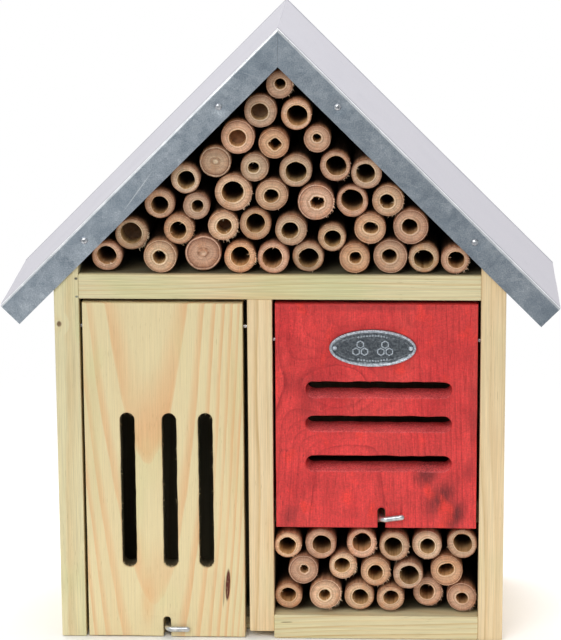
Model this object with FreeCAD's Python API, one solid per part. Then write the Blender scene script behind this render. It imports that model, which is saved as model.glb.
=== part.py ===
import FreeCAD, Part
import math
import os

# An insect hotel: a pine house with a nailed-on sheet metal roof, bamboo in the gable and
# in the lower right nook, and two doors that swing out from the bottom.
# Millimetres and degrees. X to the right, Y to the back, Z up; the origin is the middle of the base.

# Overall sizes
body_width = 190.0  # over the two side boards
body_depth = 84.0  # front to back of the side boards
roof_overhang = 22.7  # eave of the roof sheet past the body, each side
roof_pitch = 45.0
wall_rise = 4.2437  # top of the attic shelf to the roof boards, at a side board's inner face

# Pine boards
board = 10.5  # thickness of the stock, used for every board
edge_round = 0.5  # sanded edges
shelf_underside = 150.5  # height of the attic shelf above the base
nook_width = 87.6  # clear width between divider and right side board
divider_lift = 3.0  # the divider stops this far above the base

# Roof sheet
sheet = 0.5  # metal thickness
fascia_height = 11.4  # fold down over the gable edge, measured square to the slope
fascia_seam = 0.3  # slit where the two halves of a fold meet under the ridge
roof_lip = 0.5  # the roof boards stand this far past the body, front and back

# Doors
door_side_gap = 1.2
left_door_right_gap = 2.0
door_top_gap = 1.8
door_back_gap = 0.5  # between a closed door and the board that carries its hook
left_door_lift = 0.2  # the left door stops this far above the base
red_door_lap = 1.1  # the red door starts this far above the nook shelf's underside
left_pivot_drop = 11.0  # pivot below the door's top edge
red_pivot_drop = 16.5
pivot_bite = 12.0  # depth of a pivot nail in the door's edge
pivot_clearance = 0.05

# Slots in the left door, upright, from the middle of the door
left_slot_places = (-15.6, 2.2, 17.6)
left_slot_width = 6.3
left_slot_length = 69.0
left_slot_rise = 31.4  # lower end of the slots above the door's lower edge

# Slots in the red door, level, heights above the door's lower edge
red_slot_places = (28.7, 46.2, 61.2)
red_slot_width = 6.9
red_slot_length = 61.8
red_slot_shift = 1.0  # middle of the slots to the right of the door's middle
red_slot_tilt = 8.7  # the slots rise this much towards the back

slot_overrun = 2.0  # a slot's cut runs this far past both faces of the door

# Notch in a door's lower edge that the hook's shank passes through
notch_width = 3.3
notch_height = 9.0
left_notch_place = 0.1  # right of the door's middle
red_notch_place = 2.2

# Turning hooks that hold the doors shut
hook_wire = 2.4
hook_reach = 10.0  # shank to the end of the arm
hook_bend = 2.4  # radius of the bend on the wire's centre line
hook_standoff = 0.4  # arm to door face
hook_bite = 15.0  # length of shank in the wood
hook_clearance = 0.05
left_hook_height = 4.2
red_hook_tilt = 8.0  # the right hook points this far above level

# Oval plate on the red door
badge_length = 36.8
badge_width = 16.2
badge_thickness = 0.7
badge_rim = 1.3
badge_rim_height = 0.5
badge_rise = 79.6  # middle of the plate above the door's lower edge
badge_shift = -1.5
badge_pin_inset = 2.4  # pin centre from the plate's end
badge_pin_radius = 1.0
badge_pin_length = 7.0

# Nails and brads
nail_radius = 0.7
nail_head_radius = 1.5
nail_head = 0.6
nail_length = 16.0
nail_places = (40.5, 121.0)  # down the slope from the ridge
brad_radius = 0.8
brad_head_radius = 1.5
brad_head = 0.8
brad_length = 25.0
brad_inset = 20.0  # from the middle of the body's depth, front and back
divider_brad_rise = 1.0  # the divider's lower brads sit this far above the floor board's middle
back_nail_spread = 15.0  # from the middle of a floor board to its back nails
back_nail_shares = (0.3, 0.75)  # places along the shelf, as shares of half its length
divider_nail_shares = (0.3, 0.7)  # heights up the divider, as shares of its top
hole_spare = 1.0  # a blind hole runs this far past the end of its shank
shelf_brad_rise = 2.2  # above the shelf's underside, low enough to stay under the roof
pivot_radius = 0.9
roof_brad_sink = 1.5
roof_brad_length = 30.0
roof_brad_inset = 30.0

# Wall hanger on the back
hanger_width = 24.0
hanger_height = 46.0
hanger_thickness = 1.5
hanger_drop = 13.7437  # top of the plate below the peak of the gable
hanger_hole_radius = 3.5
hanger_hole_drop = 10.0
hanger_pocket_radius = 7.0
hanger_pocket_depth = 7.0
hanger_screw_drops = (24.0, 38.0)
hanger_screw_radius = 1.5
hanger_screw_head_radius = 3.0
hanger_screw_head = 1.5
hanger_screw_length = 9.0

# Bamboo. Each tube is (across, up, diameter, bore), as laid in a gable of this clear height,
# across from the middle and up from the shelf. A bore of 0 is a tube cut at a node, closed in front.
gable_pattern_height = 88.8
gable_rows = (
    ((-72.5, 7, 13, 8), (-50, 7.5, 14.5, 5.5), (-32, 8.5, 15.5, 0), (-16.5, 7, 13.5, 8), (-2.5, 7, 13.5, 8.5),
     (12, 7, 13.5, 8.5), (31.5, 7, 13, 5), (46.5, 7.5, 14.5, 6), (60.5, 7, 13, 8), (73.5, 6.5, 12, 7)),
    ((-62, 16.5, 14, 9), (-42, 19, 13, 7), (-23.5, 20.5, 13, 6.5), (-10, 21, 13.5, 8),
     (5, 19, 13.5, 7), (22, 15.5, 12, 7), (38, 19.5, 13.5, 5.5), (55, 20.5, 15, 6.5)),
    ((-50, 29.5, 13, 7.5), (-34.5, 29, 11.5, 5), (-19, 34.5, 16, 9), (-3, 33.5, 14, 6),
     (15.5, 31, 15.5, 5.5), (30.5, 31, 13.5, 9), (45.5, 31.5, 13.5, 6)),
    ((-39, 40.5, 12.5, 7.5), (-26.5, 47.5, 13.5, 0), (-10, 45.5, 12, 4.5),
     (7, 44, 14, 8.5), (23.5, 46, 13, 8.5), (36.5, 43, 13, 8)),
    ((-17, 58, 14.5, 7), (-2, 55.5, 13, 5), (16, 57.5, 11.5, 3.5)),
    ((-7.5, 69, 14, 7), (7.5, 68, 13, 8.5)),
    ((0.5, 80, 11.5, 4.5),),
)
# The same for a nook of this clear width, across from the divider and up from the floor board.
nook_pattern_width = 87.6
nook_pattern_height = 38.7
nook_rows = (
    ((6.1, 7.5, 12, 6.5), (22.1, 9, 14, 5), (36.6, 7.5, 13, 7), (50.1, 7, 12, 6.5),
     (66.1, 8, 13, 6.5), (80.6, 7.5, 13, 5)),
    ((12.6, 20, 13, 3.5), (29.6, 21.5, 12, 6.5), (43.6, 19, 13, 6.5), (57.6, 18, 13, 8.5), (74.1, 19.5, 14, 6)),
    ((6.1, 31, 12, 7.5), (20.1, 31.5, 13.5, 8), (37.6, 31.5, 13, 8), (51.6, 31, 13, 8),
     (65.6, 31, 13, 6.5), (80.6, 32, 13, 8)),
)
tube_recess = 3.0  # mean depth of the cut ends behind the front
tube_unevenness = 1.2
tube_back_gap = 0.3
recess_turn = 2.4  # radians from one tube to the next, so that the recesses look uneven
bore_offset = 0.5  # bores sit this far off the middle of their tube
bore_turn = 1.9  # radians from one tube to the next
sunk_nook_tube = 5
sunk_depth = 7.0  # that tube has slipped this much further in

# Places worked out from the sizes above
front = -body_depth / 2
back = body_depth / 2
side = body_width / 2
inner = side - board
sin_pitch = math.sin(math.radians(roof_pitch))
cos_pitch = math.cos(math.radians(roof_pitch))
tan_pitch = sin_pitch / cos_pitch
shelf_top = shelf_underside + board
gable_peak = shelf_top + wall_rise + inner * tan_pitch
overall_height = gable_peak + (sheet + board) / cos_pitch
slope_length = (side + roof_overhang) / cos_pitch
hanger_top = gable_peak - hanger_drop
gable_scale = (gable_peak - shelf_top) / gable_pattern_height
nook_scale = nook_width / nook_pattern_width
nook_left = inner - nook_width
divider_left = nook_left - board
divider_middle = nook_left - board / 2
inside_back = back - board
nook_shelf_underside = board + nook_pattern_height * nook_scale
nook_shelf_top = nook_shelf_underside + board
door_top = shelf_underside - door_top_gap
door_middle_depth = front + board / 2
behind_doors = front + board + door_back_gap
left_door_bottom = left_door_lift
red_door_bottom = nook_shelf_underside + red_door_lap
left_door_left = -inner + door_side_gap
left_door_right = divider_left - left_door_right_gap
left_door_middle = (left_door_left + left_door_right) / 2
red_door_left = nook_left + door_side_gap
red_door_right = inner - door_side_gap
red_door_middle = (red_door_left + red_door_right) / 2
left_pivot_height = door_top - left_pivot_drop
red_pivot_height = door_top - red_pivot_drop
left_hook_place = left_door_middle + left_notch_place
red_hook_place = red_door_middle + red_notch_place
red_hook_height = nook_shelf_underside + board / 2
roof_front = front - roof_lip
roof_back = back + roof_lip

x_axis = FreeCAD.Vector(1, 0, 0)
y_axis = FreeCAD.Vector(0, 1, 0)
z_axis = FreeCAD.Vector(0, 0, 1)
sin45 = math.sin(math.radians(45))


def spot(x, y, z):
    return FreeCAD.Vector(x, y, z)


def box(x0, x1, y0, y1, z0, z1):
    return Part.makeBox(x1 - x0, y1 - y0, z1 - z0, spot(x0, y0, z0))


def rod(start, direction, radius, length):
    return Part.makeCylinder(radius, length, start, direction)


def prism(outline, y0, y1):
    """A solid with this outline of (x, z) points, from y0 to y1."""
    points = [spot(x, y0, z) for x, z in outline]
    face = Part.Face(Part.makePolygon(points + points[:1]))
    return face.extrude(spot(0, y1 - y0, 0))


def eased(solid):
    """The solid with all its edges sanded round."""
    return solid.makeFillet(edge_round, solid.Edges)


def cut(solid, tools):
    for tool in tools:
        solid = solid.cut(tool)
    return solid


def headed(start, direction, radius, length, head_radius, head):
    """A nail whose head starts at start and points back along direction."""
    shank = rod(start, direction, radius, length)
    return shank.fuse(rod(start, direction, head_radius, head)).removeSplitter()


def roof_underside(x):
    return gable_peak - abs(x) * tan_pitch


def slope_point(hand, along, deep):
    """A point down the slope from the ridge and into the roof from its outer face, as (x, z)."""
    x = hand * (along * cos_pitch - deep * sin_pitch)
    z = overall_height - along * sin_pitch - deep * cos_pitch
    return x, z


def slope_layer(hand, deep0, deep1, y0, y1):
    """A layer of one roof slope, mitred at the ridge and square at the eave."""
    corners = (
        slope_point(hand, deep0 * tan_pitch, deep0),
        slope_point(hand, slope_length, deep0),
        slope_point(hand, slope_length, deep1),
        slope_point(hand, deep1 * tan_pitch, deep1),
    )
    return prism(corners, y0, y1)


# Fasteners


def roof_nails():
    """Nails through the sheet's folds into the roof boards."""
    nails = []
    for y, direction in ((roof_front - sheet, y_axis), (roof_back + sheet, -y_axis)):
        for hand in (-1, 1):
            for along in nail_places:
                x, z = slope_point(hand, along, fascia_height / 2)
                start = spot(x, y, z) - direction * nail_head
                nails.append(headed(start, direction, nail_radius, nail_length, nail_head_radius, nail_head))
    return nails


def roof_brads():
    """Brads down through the roof boards into the tops of the side boards."""
    brads = []
    for hand in (-1, 1):
        x = side - board / 2
        top = overall_height - x * tan_pitch - sheet / cos_pitch - roof_brad_sink
        for y in (-roof_brad_inset, roof_brad_inset):
            brads.append(rod(spot(hand * x, y, top), -z_axis, brad_radius, roof_brad_length))
    return brads


def level_brads(x, direction, heights):
    """Flush brads along X at each height, front and back."""
    return [
        headed(spot(x, y, z), direction, brad_radius, brad_length, brad_head_radius, brad_head)
        for z in heights
        for y in (-brad_inset, brad_inset)
    ]


def left_side_brads():
    return level_brads(-side, x_axis, (board / 2, shelf_underside + shelf_brad_rise))


def right_side_brads():
    heights = (board / 2, nook_shelf_underside + board / 2, shelf_underside + shelf_brad_rise)
    return level_brads(side, -x_axis, heights)


def divider_brads():
    heights = (board / 2 + divider_brad_rise, nook_shelf_underside + board / 2)
    return level_brads(divider_left, x_axis, heights)


def shelf_brads():
    return [
        headed(spot(divider_middle, y, shelf_top), -z_axis, brad_radius, brad_length, brad_head_radius, brad_head)
        for y in (-brad_inset, brad_inset)
    ]


def back_nails():
    """Nails through the back panel into the shelf, the floor boards and the divider."""
    left_middle = (-inner + divider_left) / 2
    right_middle = (nook_left + inner) / 2
    places = [
        (hand * share * inner, shelf_underside + board / 2) for hand in (-1, 1) for share in back_nail_shares
    ]
    for middle in (left_middle, right_middle):
        places += [(middle + way * back_nail_spread, board / 2) for way in (-1, 1)]
    places += [(divider_middle, shelf_underside * share) for share in divider_nail_shares]
    return [
        headed(spot(x, back, z), -y_axis, brad_radius, brad_length, brad_head_radius, brad_head)
        for x, z in places
    ]


def pivot_nail(face, direction, height, gap):
    """A nail from a board's far face through the board and the gap into a door's edge."""
    length = board + gap + pivot_bite
    start = spot(face, door_middle_depth, height)
    return headed(start, direction, pivot_radius, length, brad_head_radius, brad_head)


def left_door_pivots():
    return [
        pivot_nail(-side, x_axis, left_pivot_height, door_side_gap),
        pivot_nail(nook_left, -x_axis, left_pivot_height, left_door_right_gap),
    ]


def red_door_pivots():
    return [
        pivot_nail(divider_left, x_axis, red_pivot_height, door_side_gap),
        pivot_nail(side, -x_axis, red_pivot_height, door_side_gap),
    ]


def hanger_screws():
    screws = []
    for drop in hanger_screw_drops:
        start = spot(0, back + hanger_thickness + hanger_screw_head, hanger_top - drop)
        length = hanger_screw_head + hanger_thickness + hanger_screw_length
        screws.append(
            headed(start, -y_axis, hanger_screw_radius, length, hanger_screw_head_radius, hanger_screw_head)
        )
    return screws


# Pine boards


def hook_hole(x, z):
    radius = hook_wire / 2 + hook_clearance
    return rod(spot(x, front, z), y_axis, radius, board + door_back_gap + hook_bite + hole_spare)


def side_board(hand):
    outline = (
        (hand * side, 0),
        (hand * inner, 0),
        (hand * inner, roof_underside(inner)),
        (hand * side, roof_underside(side)),
    )
    return eased(prism(outline, front, back))


def left_side_board():
    return cut(side_board(-1), left_side_brads() + left_door_pivots()[:1] + roof_brads())


def right_side_board():
    return cut(side_board(1), right_side_brads() + red_door_pivots()[1:] + roof_brads())


def attic_shelf():
    solid = eased(box(-inner, inner, front, inside_back, shelf_underside, shelf_top))
    return cut(solid, left_side_brads() + right_side_brads() + shelf_brads() + back_nails())


def divider_board():
    solid = eased(box(divider_left, nook_left, front, inside_back, divider_lift, shelf_underside))
    pivots = left_door_pivots()[1:] + red_door_pivots()[:1]
    return cut(solid, divider_brads() + shelf_brads() + back_nails() + pivots)


def left_floor_board():
    solid = eased(box(-inner, divider_left, behind_doors, inside_back, 0, board))
    return cut(solid, left_side_brads() + back_nails() + [hook_hole(left_hook_place, left_hook_height)])


def right_floor_board():
    solid = eased(box(nook_left, inner, front, inside_back, 0, board))
    return cut(solid, right_side_brads() + divider_brads() + back_nails())


def nook_shelf():
    solid = eased(box(nook_left, inner, behind_doors, inside_back, nook_shelf_underside, nook_shelf_top))
    return cut(solid, right_side_brads() + divider_brads() + [hook_hole(red_hook_place, red_hook_height)])


def back_panel():
    outline = (
        (-inner, 0),
        (inner, 0),
        (inner, roof_underside(inner)),
        (0, gable_peak),
        (-inner, roof_underside(inner)),
    )
    pocket_height = hanger_top - hanger_hole_drop
    pocket = rod(spot(0, back, pocket_height), -y_axis, hanger_pocket_radius, hanger_pocket_depth)
    return cut(eased(prism(outline, inside_back, back)), back_nails() + hanger_screws() + [pocket])


def roof_board(hand):
    solid = eased(slope_layer(hand, sheet, sheet + board, roof_front, roof_back))
    return cut(solid, roof_nails() + roof_brads())


# Roof sheet


def roof_sheet():
    """Both slopes and the folds over the gable edges, front and back, from one sheet."""
    solid = slope_layer(-1, 0, sheet, roof_front - sheet, roof_back + sheet)
    solid = solid.fuse(slope_layer(1, 0, sheet, roof_front - sheet, roof_back + sheet))
    slit_top = overall_height - sheet / cos_pitch
    for y in (roof_front - sheet, roof_back):
        fold = slope_layer(-1, 0, fascia_height, y, y + sheet)
        fold = fold.fuse(slope_layer(1, 0, fascia_height, y, y + sheet))
        slit = box(-fascia_seam / 2, fascia_seam / 2, y, y + sheet, slit_top - 2 * fascia_height, slit_top)
        solid = solid.fuse(fold.cut(slit))
    return cut(solid.removeSplitter(), roof_nails())


# Doors


def slot_tool(x, z, width, length, upright):
    """The material that a round-ended slot takes out of a door, about (x, z)."""
    reach = (length - width) / 2
    along = z_axis if upright else x_axis
    start = front - slot_overrun
    depth = board + 2 * slot_overrun
    tool = None
    for way in (-1, 1):
        end = spot(x, start, z) + along * (way * reach)
        tip = rod(end, y_axis, width / 2, depth)
        tool = tip if tool is None else tool.fuse(tip)
    if upright:
        middle = box(x - width / 2, x + width / 2, start, start + depth, z - reach, z + reach)
    else:
        middle = box(x - reach, x + reach, start, start + depth, z - width / 2, z + width / 2)
    return tool.fuse(middle).removeSplitter()


def tilted_slot(x, z):
    """One of the red door's slots, which rises towards the back."""
    tool = slot_tool(x, z, red_slot_width, red_slot_length, False)
    return tool.rotate(spot(x, front, z), x_axis, red_slot_tilt)


def notch_tool(x, bottom):
    arch = bottom + notch_height - notch_width / 2
    mouth = box(x - notch_width / 2, x + notch_width / 2, front, front + board, bottom, arch)
    return mouth.fuse(rod(spot(x, front, arch), y_axis, notch_width / 2, board)).removeSplitter()


def pivot_holes(left, right, height):
    radius = pivot_radius + pivot_clearance
    depth = pivot_bite + hole_spare
    return [
        rod(spot(left, door_middle_depth, height), x_axis, radius, depth),
        rod(spot(right, door_middle_depth, height), -x_axis, radius, depth),
    ]


def left_door():
    solid = eased(box(left_door_left, left_door_right, front, front + board, left_door_bottom, door_top))
    slot_height = left_door_bottom + left_slot_rise + left_slot_length / 2
    slots = [
        slot_tool(left_door_middle + place, slot_height, left_slot_width, left_slot_length, True)
        for place in left_slot_places
    ]
    notch = notch_tool(left_hook_place, left_door_bottom)
    return cut(solid, slots + [notch] + pivot_holes(left_door_left, left_door_right, left_pivot_height))


def red_door():
    solid = eased(box(red_door_left, red_door_right, front, front + board, red_door_bottom, door_top))
    slots = [tilted_slot(red_door_middle + red_slot_shift, red_door_bottom + place) for place in red_slot_places]
    notch = notch_tool(red_hook_place, red_door_bottom)
    holes = pivot_holes(red_door_left, red_door_right, red_pivot_height)
    return cut(solid, slots + [notch] + holes + badge_pins())


def hook(x, z, tilt):
    """A bent wire hook: its shank runs back along Y and its arm points to the right."""
    arm_depth = front - hook_standoff - hook_wire / 2
    shank_end = front + board + door_back_gap + hook_bite
    corner = spot(x + hook_bend * (1 - sin45), arm_depth + hook_bend * (1 - sin45), z)
    bend_start = spot(x, arm_depth + hook_bend, z)
    bend_end = spot(x + hook_bend, arm_depth, z)
    path = Part.Wire(
        [
            Part.LineSegment(spot(x, shank_end, z), bend_start).toShape(),
            Part.Arc(bend_start, corner, bend_end).toShape(),
            Part.LineSegment(bend_end, spot(x + hook_reach, arm_depth, z)).toShape(),
        ]
    )
    section = Part.Wire(Part.Circle(spot(x, shank_end, z), y_axis, hook_wire / 2).toShape())
    solid = path.makePipeShell([section], True, False)
    return solid.rotate(spot(x, 0, z), y_axis, -tilt)


def oval(x, z, length, width, y, thickness):
    """An oval plate about (x, z) whose back is at y."""
    ellipse = Part.Ellipse(spot(x, y, z), length / 2, width / 2)
    ellipse.Axis = -y_axis
    ellipse.XAxis = x_axis
    return Part.Face(Part.Wire(ellipse.toShape())).extrude(spot(0, -thickness, 0))


badge_place = red_door_middle + badge_shift
badge_height = red_door_bottom + badge_rise


def badge_pins():
    pins = []
    for way in (-1, 1):
        head = spot(badge_place + way * (badge_length / 2 - badge_pin_inset), front - badge_thickness, badge_height)
        dome = Part.makeSphere(badge_pin_radius, head, -y_axis, 0, 90)
        pins.append(dome.fuse(rod(head, y_axis, nail_radius, badge_pin_length)).removeSplitter())
    return pins


def badge_plate():
    plate = oval(badge_place, badge_height, badge_length, badge_width, front, badge_thickness)
    rim = oval(badge_place, badge_height, badge_length, badge_width, front, badge_thickness + badge_rim_height)
    well = oval(
        badge_place,
        badge_height,
        badge_length - 2 * badge_rim,
        badge_width - 2 * badge_rim,
        front,
        badge_thickness + badge_rim_height,
    )
    return cut(plate.fuse(rim.cut(well)).removeSplitter(), badge_pins())


def hanger_plate():
    bottom = hanger_top - hanger_height
    solid = box(-hanger_width / 2, hanger_width / 2, back, back + hanger_thickness, bottom, hanger_top)
    hole_height = hanger_top - hanger_hole_drop
    hole = rod(spot(0, back, hole_height), y_axis, hanger_hole_radius, hanger_thickness)
    return cut(solid, hanger_screws() + [hole])


# Bamboo


def laid(rows, scale, across0, up0):
    """Every tube in its place, row by row, as (x, z, radius, bore radius, front end's depth, number)."""
    placed = []
    number = 0
    for row in rows:
        tubes = []
        for across, up, diameter, bore in row:
            number += 1
            depth = front + tube_recess + tube_unevenness * math.sin(recess_turn * number)
            x = across0 + across * scale
            z = up0 + up * scale
            tubes.append((x, z, diameter * scale / 2, bore * scale / 2, depth, number))
        placed.append(tubes)
    return placed


def bore_middle(x, z, number):
    angle = bore_turn * number
    return x + bore_offset * math.cos(angle), z + bore_offset * math.sin(angle)


def bamboo_tube(x, z, radius, bore_radius, depth, number):
    length = inside_back - tube_back_gap - depth
    solid = rod(spot(x, depth, z), y_axis, radius, length)
    if bore_radius:
        bore_x, bore_z = bore_middle(x, z, number)
        solid = solid.cut(rod(spot(bore_x, depth, bore_z), y_axis, bore_radius, length))
    return solid


gable_tubes = laid(gable_rows, gable_scale, 0, shelf_top)
nook_tubes = laid(nook_rows, nook_scale, nook_left, board)


def write(name, solids):
    shape = solids[0] if len(solids) == 1 else Part.makeCompound(solids)
    shape.exportStep(os.path.join("parts", name + ".step"))


def main():
    os.makedirs("parts", exist_ok=True)
    write("left_side_board", [left_side_board()])
    write("right_side_board", [right_side_board()])
    write("attic_shelf", [attic_shelf()])
    write("divider_board", [divider_board()])
    write("left_floor_board", [left_floor_board()])
    write("right_floor_board", [right_floor_board()])
    write("nook_shelf", [nook_shelf()])
    write("back_panel", [back_panel()])
    write("left_roof_board", [roof_board(-1)])
    write("right_roof_board", [roof_board(1)])
    write("roof_sheet", [roof_sheet()])
    write("roof_nails", roof_nails())
    write("roof_board_brads", roof_brads())
    write("left_side_brads", left_side_brads())
    write("right_side_brads", right_side_brads())
    write("divider_brads", divider_brads())
    write("shelf_brads", shelf_brads())
    write("back_nails", back_nails())
    write("left_door_pivot_nails", left_door_pivots())
    write("red_door_pivot_nails", red_door_pivots())
    write("hanger_plate", [hanger_plate()])
    write("hanger_screws", hanger_screws())
    write("left_door", [left_door()])
    write("red_door", [red_door()])
    write("badge_plate", [badge_plate()])
    write("badge_pins", badge_pins())
    write("left_hook", [hook(left_hook_place, left_hook_height, 0)])
    write("red_hook", [hook(red_hook_place, red_hook_height, red_hook_tilt)])
    for number, row in enumerate(gable_tubes, 1):
        write(f"gable_tubes_row_{number}", [bamboo_tube(*tube) for tube in row])
    for row in nook_tubes:
        for x, z, radius, bore_radius, depth, number in row:
            place = depth + sunk_depth if number == sunk_nook_tube else depth
            write(f"nook_tube_{number:02d}", [bamboo_tube(x, z, radius, bore_radius, place, number)])


main()
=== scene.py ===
import math
import random

import bmesh
import bpy
from mathutils import Matrix, Vector, noise
from mathutils.geometry import tessellate_polygon


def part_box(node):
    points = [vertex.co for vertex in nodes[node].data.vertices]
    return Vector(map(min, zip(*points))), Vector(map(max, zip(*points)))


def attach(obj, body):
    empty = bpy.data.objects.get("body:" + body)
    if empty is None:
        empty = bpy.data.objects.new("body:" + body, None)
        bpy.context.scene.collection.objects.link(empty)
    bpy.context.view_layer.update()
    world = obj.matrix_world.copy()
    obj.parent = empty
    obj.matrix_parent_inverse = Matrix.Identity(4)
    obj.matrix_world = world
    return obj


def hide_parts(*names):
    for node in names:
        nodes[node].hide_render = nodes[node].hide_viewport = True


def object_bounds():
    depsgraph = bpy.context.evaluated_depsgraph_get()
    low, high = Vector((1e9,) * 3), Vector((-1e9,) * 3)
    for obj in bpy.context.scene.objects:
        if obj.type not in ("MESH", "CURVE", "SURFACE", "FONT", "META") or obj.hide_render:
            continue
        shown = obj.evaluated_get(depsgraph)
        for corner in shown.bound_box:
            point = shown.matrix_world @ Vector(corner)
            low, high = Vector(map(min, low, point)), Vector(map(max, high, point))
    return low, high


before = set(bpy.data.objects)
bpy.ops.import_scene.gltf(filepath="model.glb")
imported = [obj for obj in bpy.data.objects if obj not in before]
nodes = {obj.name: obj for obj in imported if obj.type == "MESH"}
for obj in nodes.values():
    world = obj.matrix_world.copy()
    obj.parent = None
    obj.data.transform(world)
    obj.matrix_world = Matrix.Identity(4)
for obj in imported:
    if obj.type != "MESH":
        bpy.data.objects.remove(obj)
cad_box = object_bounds()

MM = 0.001
SHEET = 0.5 * MM  # thickness of the roof sheet
FASCIA = 11.4 * MM  # its fold over the gable edge
FOLD = 0.9 * MM  # outer radius of the fold
PITCH = math.radians(45)
EASE = 0.5 * MM  # rounding of the doors' edges
CAD_FLOOR = cad_box[0][2]
RIDGE = cad_box[1][2] / MM

# Faces of the cabinet in millimetres, as the materials need them
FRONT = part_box("left_side_board")[0].y / MM
INNER_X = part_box("right_side_board")[0].x / MM
INNER_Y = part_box("back_panel")[0].y / MM
FOLD_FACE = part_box("roof_sheet")[1].y / MM
BADGE_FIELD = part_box("badge_plate")[0].y / MM + 0.2

UP = Vector((0, 0, 1))
BACKWARD = Vector((0, 1, 0))
RIGHT = Vector((1, 0, 0))


def colour(red, green, blue):
    """A linear colour from the 0 to 255 values that a screen shows."""
    shares = []
    for value in (red, green, blue):
        share = value / 255
        shares.append(share / 12.92 if share < 0.04045 else ((share + 0.055) / 1.055) ** 2.4)
    return (*shares, 1)


# Materials


class Value:
    """A node's output that plain arithmetic works on, by adding the node that does it."""

    def __init__(self, shader, socket, single=None):
        self.shader = shader
        self.socket = socket
        self.single = socket.type == "VALUE" if single is None else single

    def __add__(self, other):
        return self.shader.math("ADD", self, other)

    def __radd__(self, other):
        return self.shader.math("ADD", other, self)

    def __sub__(self, other):
        return self.shader.math("SUBTRACT", self, other)

    def __rsub__(self, other):
        return self.shader.math("SUBTRACT", other, self)

    def __mul__(self, other):
        if self.single:
            return self.shader.math("MULTIPLY", self, other)
        return self.shader.vector("SCALE", self, scale=other)

    def __abs__(self):
        return self.shader.math("ABSOLUTE", self)


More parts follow.
